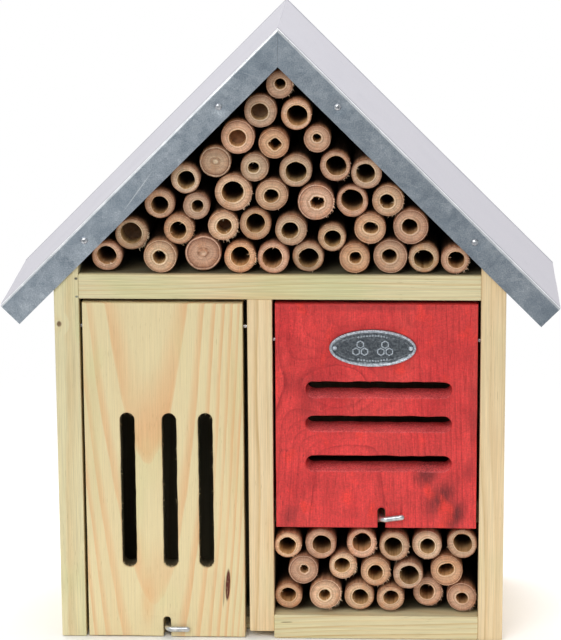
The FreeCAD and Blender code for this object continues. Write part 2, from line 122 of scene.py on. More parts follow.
class Shader:
    """A material's node tree, with one short call for each kind of node. Lengths are in millimetres."""

    def __init__(self, name):
        self.material = bpy.data.materials.new(name)
        self.material.use_nodes = True
        self.tree = self.material.node_tree
        self.tree.nodes.clear()
        output = self.add("ShaderNodeOutputMaterial")
        self.surface = self.add("ShaderNodeBsdfPrincipled")
        self.tree.links.new(self.surface.outputs[0], output.inputs["Surface"])
        texture = self.add("ShaderNodeTexCoord")
        self.normal = Value(self, texture.outputs["Normal"])
        self.place = Value(self, texture.outputs["Object"]) * (1 / MM)

    def add(self, kind):
        return self.tree.nodes.new(kind)

    def put(self, socket, value):
        if isinstance(value, Value):
            self.tree.links.new(value.socket, socket)
        else:
            socket.default_value = value

    def math(self, kind, *values):
        node = self.add("ShaderNodeMath")
        node.operation = kind
        for socket, value in zip(node.inputs, values):
            self.put(socket, value)
        return Value(self, node.outputs[0])

    def vector(self, kind, *values, scale=None):
        node = self.add("ShaderNodeVectorMath")
        node.operation = kind
        for socket, value in zip(node.inputs, values):
            self.put(socket, value)
        if scale is not None:
            self.put(node.inputs["Scale"], scale)
        return Value(self, node.outputs["Value" if kind in ("DOT_PRODUCT", "LENGTH") else "Vector"])

    def combine(self, x, y, z):
        node = self.add("ShaderNodeCombineXYZ")
        for socket, value in zip(node.inputs, (x, y, z)):
            self.put(socket, value)
        return Value(self, node.outputs[0])

    def split(self, vector):
        node = self.add("ShaderNodeSeparateXYZ")
        self.put(node.inputs[0], vector)
        return [Value(self, socket) for socket in node.outputs]

    def attribute(self, name, output="Fac"):
        node = self.add("ShaderNodeAttribute")
        node.attribute_name = name
        return Value(self, node.outputs[output])

    def stretched(self, place, size):
        """place in units of size, which has one value or one for each direction."""
        sizes = size if isinstance(size, tuple) else (size, size, size)
        return self.vector("MULTIPLY", place, tuple(1 / width for width in sizes))

    def noise(self, place, size, detail=2.0, roughness=0.5):
        """Soft noise about 0.5, with blobs about size across."""
        node = self.add("ShaderNodeTexNoise")
        self.put(node.inputs["Vector"], self.stretched(place, size))
        node.inputs["Scale"].default_value = 1
        node.inputs["Detail"].default_value = detail
        node.inputs["Roughness"].default_value = roughness
        return Value(self, node.outputs[0])

    def cells(self, place, size, output):
        node = self.add("ShaderNodeTexVoronoi")
        self.put(node.inputs["Vector"], self.stretched(place, size))
        node.inputs["Scale"].default_value = 1
        return Value(self, node.outputs[output])

    def chance(self, value):
        """A value from 0 to 1 that looks random and is the same wherever value is."""
        node = self.add("ShaderNodeTexWhiteNoise")
        node.noise_dimensions = "1D"
        self.put(node.inputs["W"], value)
        return Value(self, node.outputs["Value"])

    def fit(self, value, low, high, to_low=0.0, to_high=1.0):
        """Carries value from low..high smoothly to to_low..to_high, and no further."""
        node = self.add("ShaderNodeMapRange")
        node.interpolation_type = "SMOOTHSTEP"
        for socket, number in zip(node.inputs, (value, low, high, to_low, to_high)):
            self.put(socket, number)
        return Value(self, node.outputs[0])

    def ramp(self, value, *stops):
        """Carries value through (position, colour) or (position, number) stops."""
        node = self.add("ShaderNodeValToRGB")
        self.put(node.inputs[0], value)
        elements = node.color_ramp.elements
        while len(elements) < len(stops):
            elements.new(0.5)
        for element, (position, shade) in zip(elements, stops):
            element.position = position
            element.color = shade if isinstance(shade, tuple) else (shade, shade, shade, 1)
        return Value(self, node.outputs[0], single=not isinstance(stops[0][1], tuple))

    def mix(self, share, first, second, kind="MIX"):
        node = self.add("ShaderNodeMix")
        node.data_type = "RGBA"
        node.blend_type = kind
        self.put(node.inputs[0], share)
        self.put(node.inputs[6], first)
        self.put(node.inputs[7], second)
        return Value(self, node.outputs[2])

    def bump(self, height, distance, under=None):
        node = self.add("ShaderNodeBump")
        self.put(node.inputs["Height"], height)
        node.inputs["Distance"].default_value = distance * MM
        if under is not None:
            self.put(node.inputs["Normal"], under)
        return Value(self, node.outputs[0])

    def done(self, shade, roughness, normal, metallic=0.0, specular=0.5):
        self.put(self.surface.inputs["Base Color"], shade)
        self.put(self.surface.inputs["Roughness"], roughness)
        self.put(self.surface.inputs["Normal"], normal)
        self.put(self.surface.inputs["Metallic"], metallic)
        self.surface.inputs["Specular IOR Level"].default_value = specular
        return self.material

    def mark(self, x, z, half_length, half_width, turn, softness=0.5):
        """1 inside an oval about (x, z), fading to 0 at its edge. turn is from upright."""
        across, _, up = self.split(self.place)
        dx = across - x
        dz = up - z
        cosine = math.cos(math.radians(turn))
        sine = math.sin(math.radians(turn))
        long = dz * (cosine / half_length) + dx * (sine / half_length)
        wide = dx * (cosine / half_width) + dz * (-sine / half_width)
        far = self.math("SQRT", long * long + wide * wide)
        return self.fit(far, 1 - softness, 1, 1, 0)


RING_STOPS = ((0, 0), (0.35, 0.05), (0.66, 0.5), (0.86, 1), (0.95, 0.4), (1, 0))
WOOD_TONES = {
    "early": colour(228, 213, 172),
    "late": colour(206, 166, 108),
    "peach": colour(230, 192, 142),
    "green": colour(204, 202, 150),
    "dash": colour(158, 134, 84),
}
RED_TONES = {
    "early": colour(228, 70, 68),
    "late": colour(162, 34, 40),
    "peach": colour(236, 84, 78),
    "green": colour(206, 52, 54),
    "dash": colour(118, 24, 32),
}


def wood(
    name, grain, across, pith, lean, spacing, seed, tones=WOOD_TONES, marks=(), late=0.8, wander=2.5,
    tighten=0.0, pulse_stops=RING_STOPS, rough=1.0, inside=0.22, phase=0.0, uneven_rings=0.9, weakest=0.25,
    tints=1.0, streaks=1.0, gloom=(-40, -24), dark_walls=None
):
    """Pine whose rings are about a pith line: pith is its place (across, through) and lean its slopes.

    late is the strength of the darker wood in each ring, weakest its share in the faintest ring, and
    wander how far the rings stray. gloom is the depth over which wood inside the house is given
    painted shade, darker by the factor inside. dark_walls is the part of a board whose slot walls
    get darker painted shade still.
    """
    shader = Shader(name)
    through = grain.cross(across)
    along = shader.vector("DOT_PRODUCT", shader.place, tuple(grain))
    side = shader.vector("DOT_PRODUCT", shader.place, tuple(across))
    deep = shader.vector("DOT_PRODUCT", shader.place, tuple(through))
    board = shader.combine(along, side, deep)
    own = shader.vector("ADD", board, (seed * 37.1, seed * 11.3, seed * 23.9))

    sway = (shader.noise(own, (150, 42, 42), 1) - 0.5) * (4 * wander)
    flutter = (shader.noise(own, (26, 7, 7), 2) - 0.5) * (wander * 0.5)
    from_pith = side - (pith[0] + along * lean[0])
    below_pith = deep - (pith[1] + along * lean[1])
    from_pith = from_pith + sway
    below_pith = below_pith + flutter
    radius = from_pith * from_pith + below_pith * below_pith
    radius = shader.math("SQRT", radius)
    for mark in marks:
        if mark.get("lift"):
            spread = shader.mark(mark["x"], mark["z"], mark["lift"], mark["lift"], 0, 1)
            radius = radius + spread * (mark["lift"] * 0.4)
    uneven = shader.noise(shader.combine(radius, seed, 0), (spacing * 3.7, 1, 1), 1)
    beyond = radius - phase
    turns = beyond * (1 / spacing) + uneven * uneven_rings + 20
    turns = turns + beyond * beyond * tighten
    share = shader.math("FRACT", turns)
    strength = shader.fit(shader.chance(shader.math("FLOOR", turns)), 0, 1, weakest, 1)
    patchy = shader.fit(shader.noise(own, (60, 12, 12), 1), 0.3, 0.7, 0.6, 1)
    pulse = shader.ramp(share, *pulse_stops)
    latewood = pulse * strength * patchy * late

    fibre = shader.noise(own, (34, 0.42, 0.42), 3, 0.6)
    hair = shader.noise(own, (9, 0.16, 0.16), 2, 0.6)
    broad = shader.noise(own, (95, 17, 17), 2)
    blotch = shader.noise(own, (50, 22, 22), 2)
    dashes = shader.fit(shader.noise(own, (5.5, 0.24, 0.24), 1), 0.69, 0.78)
    scarce = shader.fit(shader.noise(own, (40, 14, 14), 1), 0.45, 0.62)

    shade = shader.mix(latewood, tones["early"], tones["late"])
    shade = shader.mix(shader.fit(broad, 0.5, 0.72, 0, 0.55 * tints), shade, tones["peach"])
    shade = shader.mix(shader.fit(blotch, 0.52, 0.72, 0, 0.45), shade, tones["green"])
    streak = shader.fit(fibre, 0.25, 0.75, 1 - 0.16 * streaks, 1 + 0.07 * streaks)
    streak = streak * shader.fit(hair, 0.2, 0.8, 1 - 0.07 * streaks, 1 + 0.045 * streaks)
    shade = shade * streak
    shade = shader.mix(dashes * scarce * 0.5, shade, tones["dash"])
    pits = 0.0
    for mark in marks:
        spread = shader.mark(
            mark["x"], mark["z"], mark["long"], mark["wide"], mark.get("turn", 0), mark.get("soft", 0.5)
        )
        broken = shader.fit(shader.noise(own, (3, 0.5, 0.5), 2), 0.2, 0.55, 0.55, 1)
        shade = shader.mix(spread * broken * mark["strength"], shade, mark["shade"])
        pits = pits + spread * mark.get("pit", 0)

    x_place, y_place, z_place = shader.split(shader.place)
    # Painted shade: wood inside the house is painted darker with depth, down to the factor inside, where
    # shade falls.
    painted_shade_share = shader.fit(y_place, *gloom) * shader.fit(z_place, 5, 6)
    painted_shade_share = painted_shade_share * shader.fit(y_place, INNER_Y + 0.05, INNER_Y + 0.3, 1, 0)
    painted_shade_share = painted_shade_share * shader.fit(abs(x_place), INNER_X + 0.05, INNER_X + 0.3, 1, 0)
    shade = shade * shader.fit(painted_shade_share, 0, 1, 1, inside)
    # Painted shade: the walls of the listed slots are painted darker still, for the shade inside the slots.
    if dark_walls:
        x_low, x_high, z_low, z_high = dark_walls
        walls = shader.fit(y_place, FRONT + 0.1, FRONT + 2.5)
        walls = walls * shader.fit(y_place, -INNER_Y - 0.2, -INNER_Y - 0.05, 1, 0)
        for place, start, end in ((x_place, x_low, x_high), (z_place, z_low, z_high)):
            walls = walls * shader.fit(place, start, start + 0.5) * shader.fit(place, end - 0.5, end, 1, 0)
        shade = shade * shader.fit(walls, 0, 1, 1, 0.16)

    fuzz = shader.noise(own, (2.2, 0.3, 0.3), 3, 0.7)
    height = fibre * 0.8 + hair * 0.55 + fuzz * 0.35 + latewood * 0.35 + dashes * -0.6 + pits * -4
    hollow = shader.noise(own, (55, 9, 9), 1)
    normal = shader.bump(height, 0.1 * rough, shader.bump(hollow, 0.45))
    roughness = 0.5 + fuzz * 0.2 + latewood * -0.08
    return shader, shade, roughness, normal, latewood, own


def pine(*values, **settings):
    shader, shade, roughness, normal, _, _ = wood(*values, **settings)
    return shader.done(shade, roughness, normal, specular=0.3)


def stained_pine(name, door_top, *values, **settings):
    """Pine under a thin red stain that has scuffed, with pale dust and painted light on upward walls."""
    shader, shade, roughness, normal, latewood, own = wood(name, *values, tones=RED_TONES, **settings)
    cloud = shader.noise(own, (26, 15, 15), 3)
    shade = shader.mix(shader.fit(cloud, 0.48, 0.7, 0, 0.5), shade, colour(190, 44, 48))
    bright = shader.fit(shader.noise(own, (15, 10, 10), 2), 0.58, 0.74, 0, 0.6)
    shade = shader.mix(bright, shade, colour(244, 66, 52))
    weave = shader.noise(own, (4.5, 0.7, 0.7), 3, 0.65)
    shade = shade * shader.fit(weave, 0.3, 0.7, 0.9, 1.07)
    flecks = shader.fit(shader.noise(own, (2.6, 0.45, 0.45), 2), 0.63, 0.7)
    left_side = shader.fit(shader.split(shader.place)[0], 2, 26, 1, 0.45)
    shade = shader.mix(flecks * left_side * 0.6, shade, colour(116, 24, 32))
    pale = shader.fit(shader.noise(own, (1.1, 0.4, 0.4), 3, 0.7), 0.64, 0.74)
    shade = shader.mix(pale * 0.4, shade, colour(244, 140, 134))
    # The upward walls get pale dust and painted light together: they are painted lighter, as if lit from
    # above.
    facing_up = shader.fit(shader.split(shader.normal)[2], 0.25, 0.8)
    below_top = shader.fit(shader.split(shader.place)[2], door_top - 1.5, door_top - 0.5, 1, 0)
    speckle = shader.fit(shader.noise(shader.place, 0.7, 3, 0.7), 0.36, 0.64, 0.1, 1)
    dust_and_painted_light = facing_up * below_top * speckle
    shade = shader.mix(dust_and_painted_light * 0.85, shade, colour(255, 126, 128))
    worn = shader.fit(shader.noise(shader.place, (13, 6, 13), 3, 0.55), 0.3, 0.7, 0.86, 1.08)
    shade = shade * worn
    sanded = shader.fit(shader.noise(shader.place, (0.9, 0.9, 0.6), 2, 0.6), 0.3, 0.7, 0.88, 1.1)
    shade = shade * sanded
    roughness = roughness + dust_and_painted_light * 0.25 - 0.06
    shade = shader.mix(1.0, shade, (1.06, 0.94, 0.94, 1), "MULTIPLY")
    return shader.done(shade, roughness, normal, specular=0.4)


def bamboo(name):
    """Sawn bamboo: a fibrous cut face between a smooth papery bore and a browner skin."""
    shader = Shader(name)
    share = shader.attribute("share")
    kind = shader.attribute("kind")
    tint = shader.attribute("tint")
    own = shader.vector("ADD", shader.place, shader.combine(tint * 97, 0, tint * 53))
    from_middle = shader.attribute("from_middle", "Vector")
    dx, _, dz = shader.split(from_middle)
    angle = shader.math("ARCTAN2", dz, dx)

    bundles = shader.cells(own, (0.5, 6, 0.5), "Distance")
    crowding = shader.fit(share, 0.1, 1, 0.2, 0.85)
    dots = shader.fit(bundles, 0.15, 0.5, 1, 0) * crowding
    saw = shader.noise(own, (5, 1, 0.35), 3, 0.7)
    grit = shader.noise(own, 0.45, 3, 0.7)
    patch = shader.noise(own, 3.6, 2)
    spokes = shader.noise(shader.combine(angle * 5, share, tint * 31), (0.35, 2.2, 1), 2)

    drift = share + (patch - 0.5) * 0.16
    face = shader.ramp(
        drift,
        (0, colour(226, 204, 172)),
        (0.1, colour(240, 220, 194)),
        (0.2, colour(186, 152, 124)),
        (0.32, colour(212, 184, 158)),
        (0.58, colour(206, 174, 148)),
        (0.76, colour(188, 152, 126)),
        (0.86, colour(138, 98, 78)),
        (0.92, colour(226, 200, 176)),
        (0.97, colour(206, 176, 150)),
        (1, colour(150, 108, 86)),
    )
    face = shader.mix(dots * 0.42, face, colour(140, 94, 62))
    face = shader.mix(shader.fit(patch, 0.5, 0.72, 0, 0.5), face, colour(198, 150, 112))
    face = face * shader.fit(saw, 0.25, 0.75, 0.78, 1.1)
    face = face * shader.fit(spokes, 0.3, 0.7, 0.86, 1.08)
    rings = shader.noise(shader.combine(share * 9, tint, angle * 0.4), 1, 3, 0.6)
    face = face * shader.fit(rings, 0.3, 0.7, 0.78, 1.12)

    length_noise = shader.noise(own, (1.1, 28, 1.1), 3, 0.6)
    skin = shader.ramp(
        length_noise,
        (0.25, colour(120, 82, 62)),
        (0.5, colour(164, 124, 98)),
        (0.75, colour(190, 152, 122)),
    )
    skin = shader.mix(shader.fit(patch, 0.55, 0.75, 0, 0.4), skin, colour(150, 96, 72))
    bore = shader.ramp(
        length_noise,
        (0.25, colour(164, 126, 84)),
        (0.55, colour(204, 172, 128)),
        (0.8, colour(222, 198, 160)),
    )
    septum = shader.ramp(
        shader.noise(own, 2.8, 3, 0.5),
        (0.25, colour(112, 76, 46)),
        (0.5, colour(146, 108, 70)),
        (0.75, colour(168, 132, 92)),
    )
    is_skin = shader.fit(kind, 0.5, 0.6)
    is_bore = shader.fit(kind, 1.5, 1.6)
    is_septum = shader.fit(kind, 2.5, 2.6)
    shade = shader.mix(is_skin, face, skin)
    shade = shader.mix(is_bore, shade, bore)
    shade = shader.mix(is_septum, shade, septum)
    # Painted shade: skin and bore are painted darker the deeper they lie behind the cut face, for the shade
    # between and inside the tubes.
    deep = shader.attribute("deep")
    skin_gloom = shader.fit(deep, 1, 11, 1, 0.1)
    bore_gloom = shader.fit(deep, 2, 16, 1, 0.22)
    gloom = shader.mix(is_bore, skin_gloom, bore_gloom)
    shade = shader.mix(1.0, shade, gloom, "MULTIPLY")
    warm = shader.fit(shader.chance(tint * 7), 0, 1, 0.8, 1.06)
    shade = shade * warm
    family = shader.chance(tint * 19)
    cast = shader.ramp(
        family,
        (0, colour(212, 190, 184)),
        (0.3, colour(214, 206, 194)),
        (0.55, colour(222, 196, 174)),
        (0.8, colour(198, 200, 198)),
        (1, colour(212, 188, 182)),
    )
    cast = cast * 1.9
    shade = shader.mix(0.75, shade, cast, "MULTIPLY")
    rim = shader.fit(share, 0.965, 0.995) * shader.fit(kind, 0.5, 0.6, 1, 0)
    shade = shade * shader.fit(rim, 0, 1, 1, 0.62)

    height = dots * -0.5 + saw * 0.9 + grit * 0.6 + length_noise * 0.4
    normal = shader.bump(height, 0.14)
    roughness = 0.62 + grit * 0.25 + is_skin * -0.2
    return shader.done(shade, roughness, normal, specular=0.3)


def galvanised_steel():
    """Zinc-coated sheet: mottled spangle, a dull bloom, and fine scratches."""
    shader = Shader("galvanised_steel_aged")
    own = shader.place
    spangle = shader.cells(shader.vector("ADD", own, (7, 3, 1)), 2.1, "Color")
    tone = shader.noise(own, (9, 9, 9), 3, 0.6)
    fine = shader.noise(own, 0.55, 3, 0.7)
    grain = shader.split(spangle)[0]
    mixed = grain * 0.08 + tone * 0.28 + fine * 0.6 + 0.02
    shade = shader.ramp(
        mixed,
        (0.34, colour(128, 140, 152)),
        (0.46, colour(158, 168, 179)),
        (0.56, colour(178, 186, 195)),
        (0.7, colour(216, 221, 226)),
    )
    drift = shader.noise(own, (30, 30, 14), 2)
    shade = shader.mix(shader.fit(drift, 0.45, 0.7, 0, 0.35), shade, colour(132, 146, 160))
    bloom = shader.fit(shader.noise(own, (14, 14, 5), 4, 0.7), 0.6, 0.75)
    shade = shader.mix(bloom * 0.2, shade, colour(206, 208, 208))
    tilted = shader.vector("DOT_PRODUCT", own, (0.35, 0, 0.94))
    steep = shader.vector("DOT_PRODUCT", own, (0.94, 0, -0.35))
    scratches = shader.noise(shader.combine(steep, tilted, 0), (26, 0.22, 1), 1)
    scratches = shader.fit(scratches, 0.71, 0.75) * shader.fit(drift, 0.4, 0.6)
    shade = shader.mix(scratches * 0.5, shade, colour(222, 226, 230))
    # Painted light: faces that point up get a lighter, even grey, for the bright light they catch from above;
    # this also evens their mottle.
    painted_light_top = shader.fit(shader.split(shader.normal)[2], 0.45, 0.65)
    x_place, y_place, z_place = shader.split(own)
    # Painted shade: the sheet is painted darker from left to right, for light that falls less on its right
    # side.
    painted_side_shade = shader.fit(x_place, -90, 70, 1.08, 0.86)
    shade = shade * painted_side_shade
    shade = shader.mix(painted_light_top * 0.82, shade, colour(198, 198, 206))
    below_slope = (RIDGE - (z_place + abs(x_place))) * math.cos(PITCH)
    outward = abs(y_place)
    uneven = shader.noise(own, (5, 2, 5), 2)
    # Painted highlight: a near-white line along the fold's front edge, where it catches the light.
    painted_fold_highlight = shader.fit(outward, FOLD_FACE - 1.1, FOLD_FACE - 0.7) * shader.fit(below_slope, 0.9, 1.25, 1, 0)
    # Painted shade: a dark line across the top just behind the fold, where shade falls.
    painted_fold_shade = shader.fit(outward, FOLD_FACE - 3.8, FOLD_FACE - 3)
    painted_fold_shade = painted_fold_shade * shader.fit(outward, FOLD_FACE - 1.8, FOLD_FACE - 1.3, 1, 0)
    painted_fold_shade = painted_fold_shade * shader.fit(below_slope, 0.35, 0.7, 1, 0)
    shade = shader.mix(painted_fold_shade * shader.fit(uneven, 0.3, 0.6, 0.4, 0.7), shade, colour(88, 96, 110))
    shade = shader.mix(painted_fold_highlight * shader.fit(uneven, 0.35, 0.65, 0.7, 1), shade, colour(250, 252, 255))
    long_scratch = shader.mark(-58.5, 197, 13, 0.3, 36, 0.6)
    shade = shader.mix(long_scratch * 0.7, shade, colour(226, 230, 234))
    height = tone * 0.5 + fine * 0.3 + scratches * -0.4
    normal = shader.bump(height, 0.05)
    roughness = 0.34 + tone * 0.22 + grain * 0.06 + bloom * 0.15
    roughness = roughness + painted_fold_highlight * -0.15 + painted_light_top * 0.12
    return shader.done(shade, roughness, normal, metallic=0.78)


def bright_metal(name, light, dark, size, roughness_low, seed, patina=False):
    """A plated or drawn metal with fine lines, a cloudy tone and a few dull spots.
    patina darkens the badge's sunken field."""
    shader = Shader(name)
    own = shader.vector("ADD", shader.place, (seed, seed * 2, seed * 3))
    cloud = shader.noise(own, size, 3, 0.6)
    fine = shader.noise(own, (size * 0.12, size * 0.5, size * 0.12), 3, 0.65)
    shade = shader.mix(shader.fit(cloud, 0.35, 0.65), dark, light)
    spots = shader.fit(shader.noise(own, size * 0.35, 3, 0.7), 0.62, 0.72, 0, 0.4)
    shade = shader.mix(spots, shade, dark)
    metallic = 0.95
    if patina:
        low_field = shader.fit(shader.split(shader.place)[1], BADGE_FIELD, BADGE_FIELD + 0.2)
        streaky = shader.noise(own, (2.4, 1, 0.5), 3, 0.65)
        # Painted highlight: the raised relief is painted brighter and made less metallic so it shows white
        # like a glint; the darker sunken field is patina.
        metallic = shader.fit(low_field, 0, 1, 0.45, 0.95)
        shade = shade * shader.fit(low_field, 0, 1, 1.12, 0.42)
        shade = shade * shader.fit(streaky, 0.3, 0.7, 0.8, 1.15)
    normal = shader.bump(cloud + fine * 0.4, 0.04 if patina else 0.07)
    roughness = roughness_low + fine * 0.15 + spots * 0.3
    return shader.done(shade, roughness, normal, metallic=metallic)


def pale_floor():
    shader = Shader("studio_floor")
    cloud = shader.noise(shader.place, 260, 2)
    shade = shader.mix(shader.fit(cloud, 0.3, 0.7), colour(250, 250, 250), colour(253, 253, 253))
    grain = shader.noise(shader.place, 0.8, 2)
    far = shader.vector("LENGTH", shader.place)
    shader.put(shader.surface.inputs["Alpha"], shader.fit(far, 130, 420, 1, 0))
    return shader.done(shade, 0.85 + grain * 0.1, shader.bump(grain, 0.02), specular=0.1)


# Mesh building


def mesh_piece(name, vertices, faces, material, body, replaced=(), sharp=38, values=None):
    """A piece from vertices in metres. values holds point or face values for its material."""
    mesh = bpy.data.meshes.new(name)
    mesh.from_pydata([tuple(v) for v in vertices], [], faces)
    mesh.validate()
    tidy = bmesh.new()
    tidy.from_mesh(mesh)
    if values is None:
        bmesh.ops.recalc_face_normals(tidy, faces=tidy.faces)
    tidy.to_mesh(mesh)
    tidy.free()
    mesh.shade_smooth()
    mesh.set_sharp_from_angle(angle=math.radians(sharp))
    for label, (domain, kind, data) in (values or {}).items():
        layer = mesh.attributes.new(label, kind, domain)
        for place, value in enumerate(data):
            if kind == "FLOAT_VECTOR":
                layer.data[place].vector = value
            else:
                layer.data[place].value = value
    mesh.materials.append(material)
    piece = bpy.data.objects.new(name, mesh)
    bpy.context.scene.collection.objects.link(piece)
    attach(piece, body)
    if replaced:
        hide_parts(*replaced)
    return piece


def joined(parts):
    """One list of vertices and one of faces from several."""
    vertices = []
    faces = []
    for more_vertices, more_faces in parts:
        base = len(vertices)
        vertices.extend(more_vertices)
        faces.extend(tuple(base + index for index in face) for face in more_faces)
    return vertices, faces


def stitched(starts, count):
    """The faces between rings of count vertices each. A ring is given by its first vertex."""
    faces = []
    for low, high in zip(starts, starts[1:]):
        for place in range(count):
            after = (place + 1) % count
            faces.append((low + place, low + after, high + after, high + place))
    return faces


def capped_tube(vertices, sides):
    """The faces of a closed tube made of rings with the given number of sides."""
    last = len(vertices) - sides
    return stitched(range(0, len(vertices), sides), sides) + [
        tuple(range(sides)),
        tuple(range(last, last + sides)),
    ]


def spun(count):
    """The cosine and sine of each of count equal steps round a circle."""
    angles = [2 * math.pi * step / count for step in range(count)]
    return [(math.cos(angle), math.sin(angle)) for angle in angles]


def eased_loop(loop, amount):
    """The closed (x, z) loop moved by amount to its left."""
    moved = []
    count = len(loop)
    for place in range(count):
        before = Vector(loop[place - 1])
        here = Vector(loop[place])
        after = Vector(loop[(place + 1) % count])
        first = (here - before).normalized()
        second = (after - here).normalized()
        left = Vector((-first.y - second.y, first.x + second.x))
        left = left / max(left.length_squared, 1e-9) * 2
        moved.append(tuple(here + left * amount))
    return moved


def plate(loops, front, back, ease, rises):
    """A plate from an anticlockwise (x, z) outline and clockwise openings, with its edges eased.
    rises is how far each loop climbs from the front to the back."""
    vertices = []
    faces = []
    caps = ([], [])
    for loop, rise in zip(loops, rises):
        turns = [math.radians(angle) for angle in (0, 30, 60, 90)]
        corner = [(ease * (1 - math.cos(turn)), ease * (1 - math.sin(turn))) for turn in turns]
        rings = [(front + deep, shift) for deep, shift in corner]
        rings += [(back - deep, shift) for deep, shift in reversed(corner)]
        count = len(loop)
        start = len(vertices)
        for y, shift in rings:
            for x, z in eased_loop(loop, shift):
                vertices.append(Vector((x, y, z + rise * (y - front) / (back - front))))
        faces += stitched([start + ring * count for ring in range(len(rings))], count)
        caps[0].append(range(start, start + count))
        caps[1].append(range(start + (len(rings) - 1) * count, start + len(rings) * count))
    for cap in caps:
        order = [index for loop in cap for index in loop]
        for triangle in tessellate_polygon([[vertices[index] for index in loop] for loop in cap]):
            faces.append(tuple(order[index] for index in triangle))
    return vertices, faces


def swept(path, radius_across, radius_up, up, sides=20):
    """A wire along path, oval where the two radii differ. Each radius is one value or one a point."""
    count = len(path)
    across_radii = radius_across if isinstance(radius_across, list) else [radius_across] * count
    up_radii = radius_up if isinstance(radius_up, list) else [radius_up] * count
    vertices = []
    for place, point in enumerate(path):
        before = path[max(place - 1, 0)]
        after = path[min(place + 1, count - 1)]
        ahead = (after - before).normalized()
        lift = (up - ahead * up.dot(ahead)).normalized()
        sideways = ahead.cross(lift)
        for cosine, sine in spun(sides):
            offset = sideways * cosine * across_radii[place] + lift * sine * up_radii[place]
            vertices.append(point + offset)
    return vertices, capped_tube(vertices, sides)


def turned(start, direction, profile, sides=24):
    """A turned solid: profile is (distance along direction, radius), from one end to the other."""
    direction = direction.normalized()
    helper = UP if abs(direction.z) < 0.9 else RIGHT
    first = direction.cross(helper).normalized()
    second = direction.cross(first)
    vertices = []
    for distance, radius in profile:
        for cosine, sine in spun(sides):
            spoke = first * cosine + second * sine
            vertices.append(start + direction * distance + spoke * radius)
    return vertices, capped_tube(vertices, sides)


def islands(node):
    """The separate solids of a CAD node, each as its list of vertex places, from left to right."""
    mesh = nodes[node].data
    keys = [tuple(round(value, 6) for value in vertex.co) for vertex in mesh.vertices]
    parent = {}

    def root(key):
        while parent.setdefault(key, key) != key:
            key = parent[key]
        return key

    for polygon in mesh.polygons:
        corners = [keys[index] for index in polygon.vertices]
        for corner in corners[1:]:
            parent[root(corner)] = root(corners[0])
    groups = {}
    for key in set(keys):
        groups.setdefault(root(key), []).append(Vector(key))
    return sorted(groups.values(), key=lambda group: min(v.x for v in group))


def middle_of(points):
    low = Vector(tuple(min(p[axis] for p in points) for axis in range(3)))
    high = Vector(tuple(max(p[axis] for p in points) for axis in range(3)))
    return (low + high) / 2, low, high


# Doors


def wobble(loop, amount, size, seed):
    """The loop with small smooth saw and sanding errors, never beyond amount."""
    moved = []
    for x, z in loop:
        place = Vector((x / (size * MM), seed, z / (size * MM)))
        shift = noise.noise_vector(place) * amount * MM
        moved.append((x + shift.x, z + shift.z))
    return moved


def line_points(start, end, step):
    """Points from start up to but not including end."""
    start = Vector(start)
    end = Vector(end)
    count = max(1, round((end - start).length / (step * MM)))
    return [tuple(start.lerp(end, place / count)) for place in range(count)]


def slot_loop(x, z, width, length, upright, seed):
    """A clockwise round-ended slot about (x, z), with edges a little uneven."""
    radius = width / 2
    half = length / 2 - radius
    points = []
    for end in (1, -1):
        for step in range(17):
            angle = math.pi * step / 16
            points.append((half * end + radius * math.sin(angle) * end, radius * math.cos(angle) * end))
        points.extend(line_points(points[-1], (-half * end, -radius * end), 1.2)[1:])
    if upright:
        loop = [(x - across, z + along) for along, across in points]
    else:
        loop = [(x + along, z + across) for along, across in points]
    area = sum(a[0] * b[1] - b[0] * a[1] for a, b in zip(loop, loop[1:] + loop[:1]))
    if area > 0:
        loop.reverse()
    return wobble(loop, 0.16 if upright else 0.3, 5, seed)


def door_outline(low, high, notch_x, notch_width, notch_height, seed):
    """The door's anticlockwise outline, with the hook's notch in its lower edge."""
    left, right, bottom, top = low.x, high.x, low.z, high.z
    half = notch_width / 2
    arch = bottom + notch_height - half
    points = line_points((left, bottom), (notch_x - half, bottom), 4)
    points += line_points((notch_x - half, bottom), (notch_x - half, arch), 1)
    for step in range(12):
        angle = math.pi * (1 - step / 12)
        points.append((notch_x + half * math.cos(angle), arch + half * math.sin(angle)))
    points += line_points((notch_x + half, arch), (notch_x + half, bottom), 1)
    points += line_points((notch_x + half, bottom), (right, bottom), 4)
    points += line_points((right, bottom), (right, top), 4)
    points += line_points((right, top), (left, top), 4)
    points += line_points((left, top), (left, bottom), 4)
    uneven = wobble(points, 0.16, 18, seed)
    kept = []
    for x, z in uneven:
        kept.append((min(max(x, left), right), min(max(z, bottom), top)))
    return kept


def drill(piece, start, end, radius):
    """Cuts a round hole from start to end out of the piece."""
    path = [start.lerp(end, place / 2) for place in range(3)]
    vertices, faces = swept(path, radius, radius, BACKWARD)
    mesh = bpy.data.meshes.new("drill")
    mesh.from_pydata([tuple(v) for v in vertices], [], faces)
    tidy = bmesh.new()
    tidy.from_mesh(mesh)
    bmesh.ops.recalc_face_normals(tidy, faces=tidy.faces)
    tidy.to_mesh(mesh)
    tidy.free()
    cutter = bpy.data.objects.new("drill", mesh)
    bpy.context.scene.collection.objects.link(cutter)
    modifier = piece.modifiers.new("hole", "BOOLEAN")
    modifier.operation = "DIFFERENCE"
    modifier.solver = "EXACT"
    modifier.object = cutter
    bpy.context.view_layer.update()
    result = bpy.data.meshes.new_from_object(piece.evaluated_get(bpy.context.evaluated_depsgraph_get()))
    piece.modifiers.clear()
    piece.data = result
    bpy.data.objects.remove(cutter)
    result.shade_smooth()
    result.set_sharp_from_angle(angle=math.radians(38))


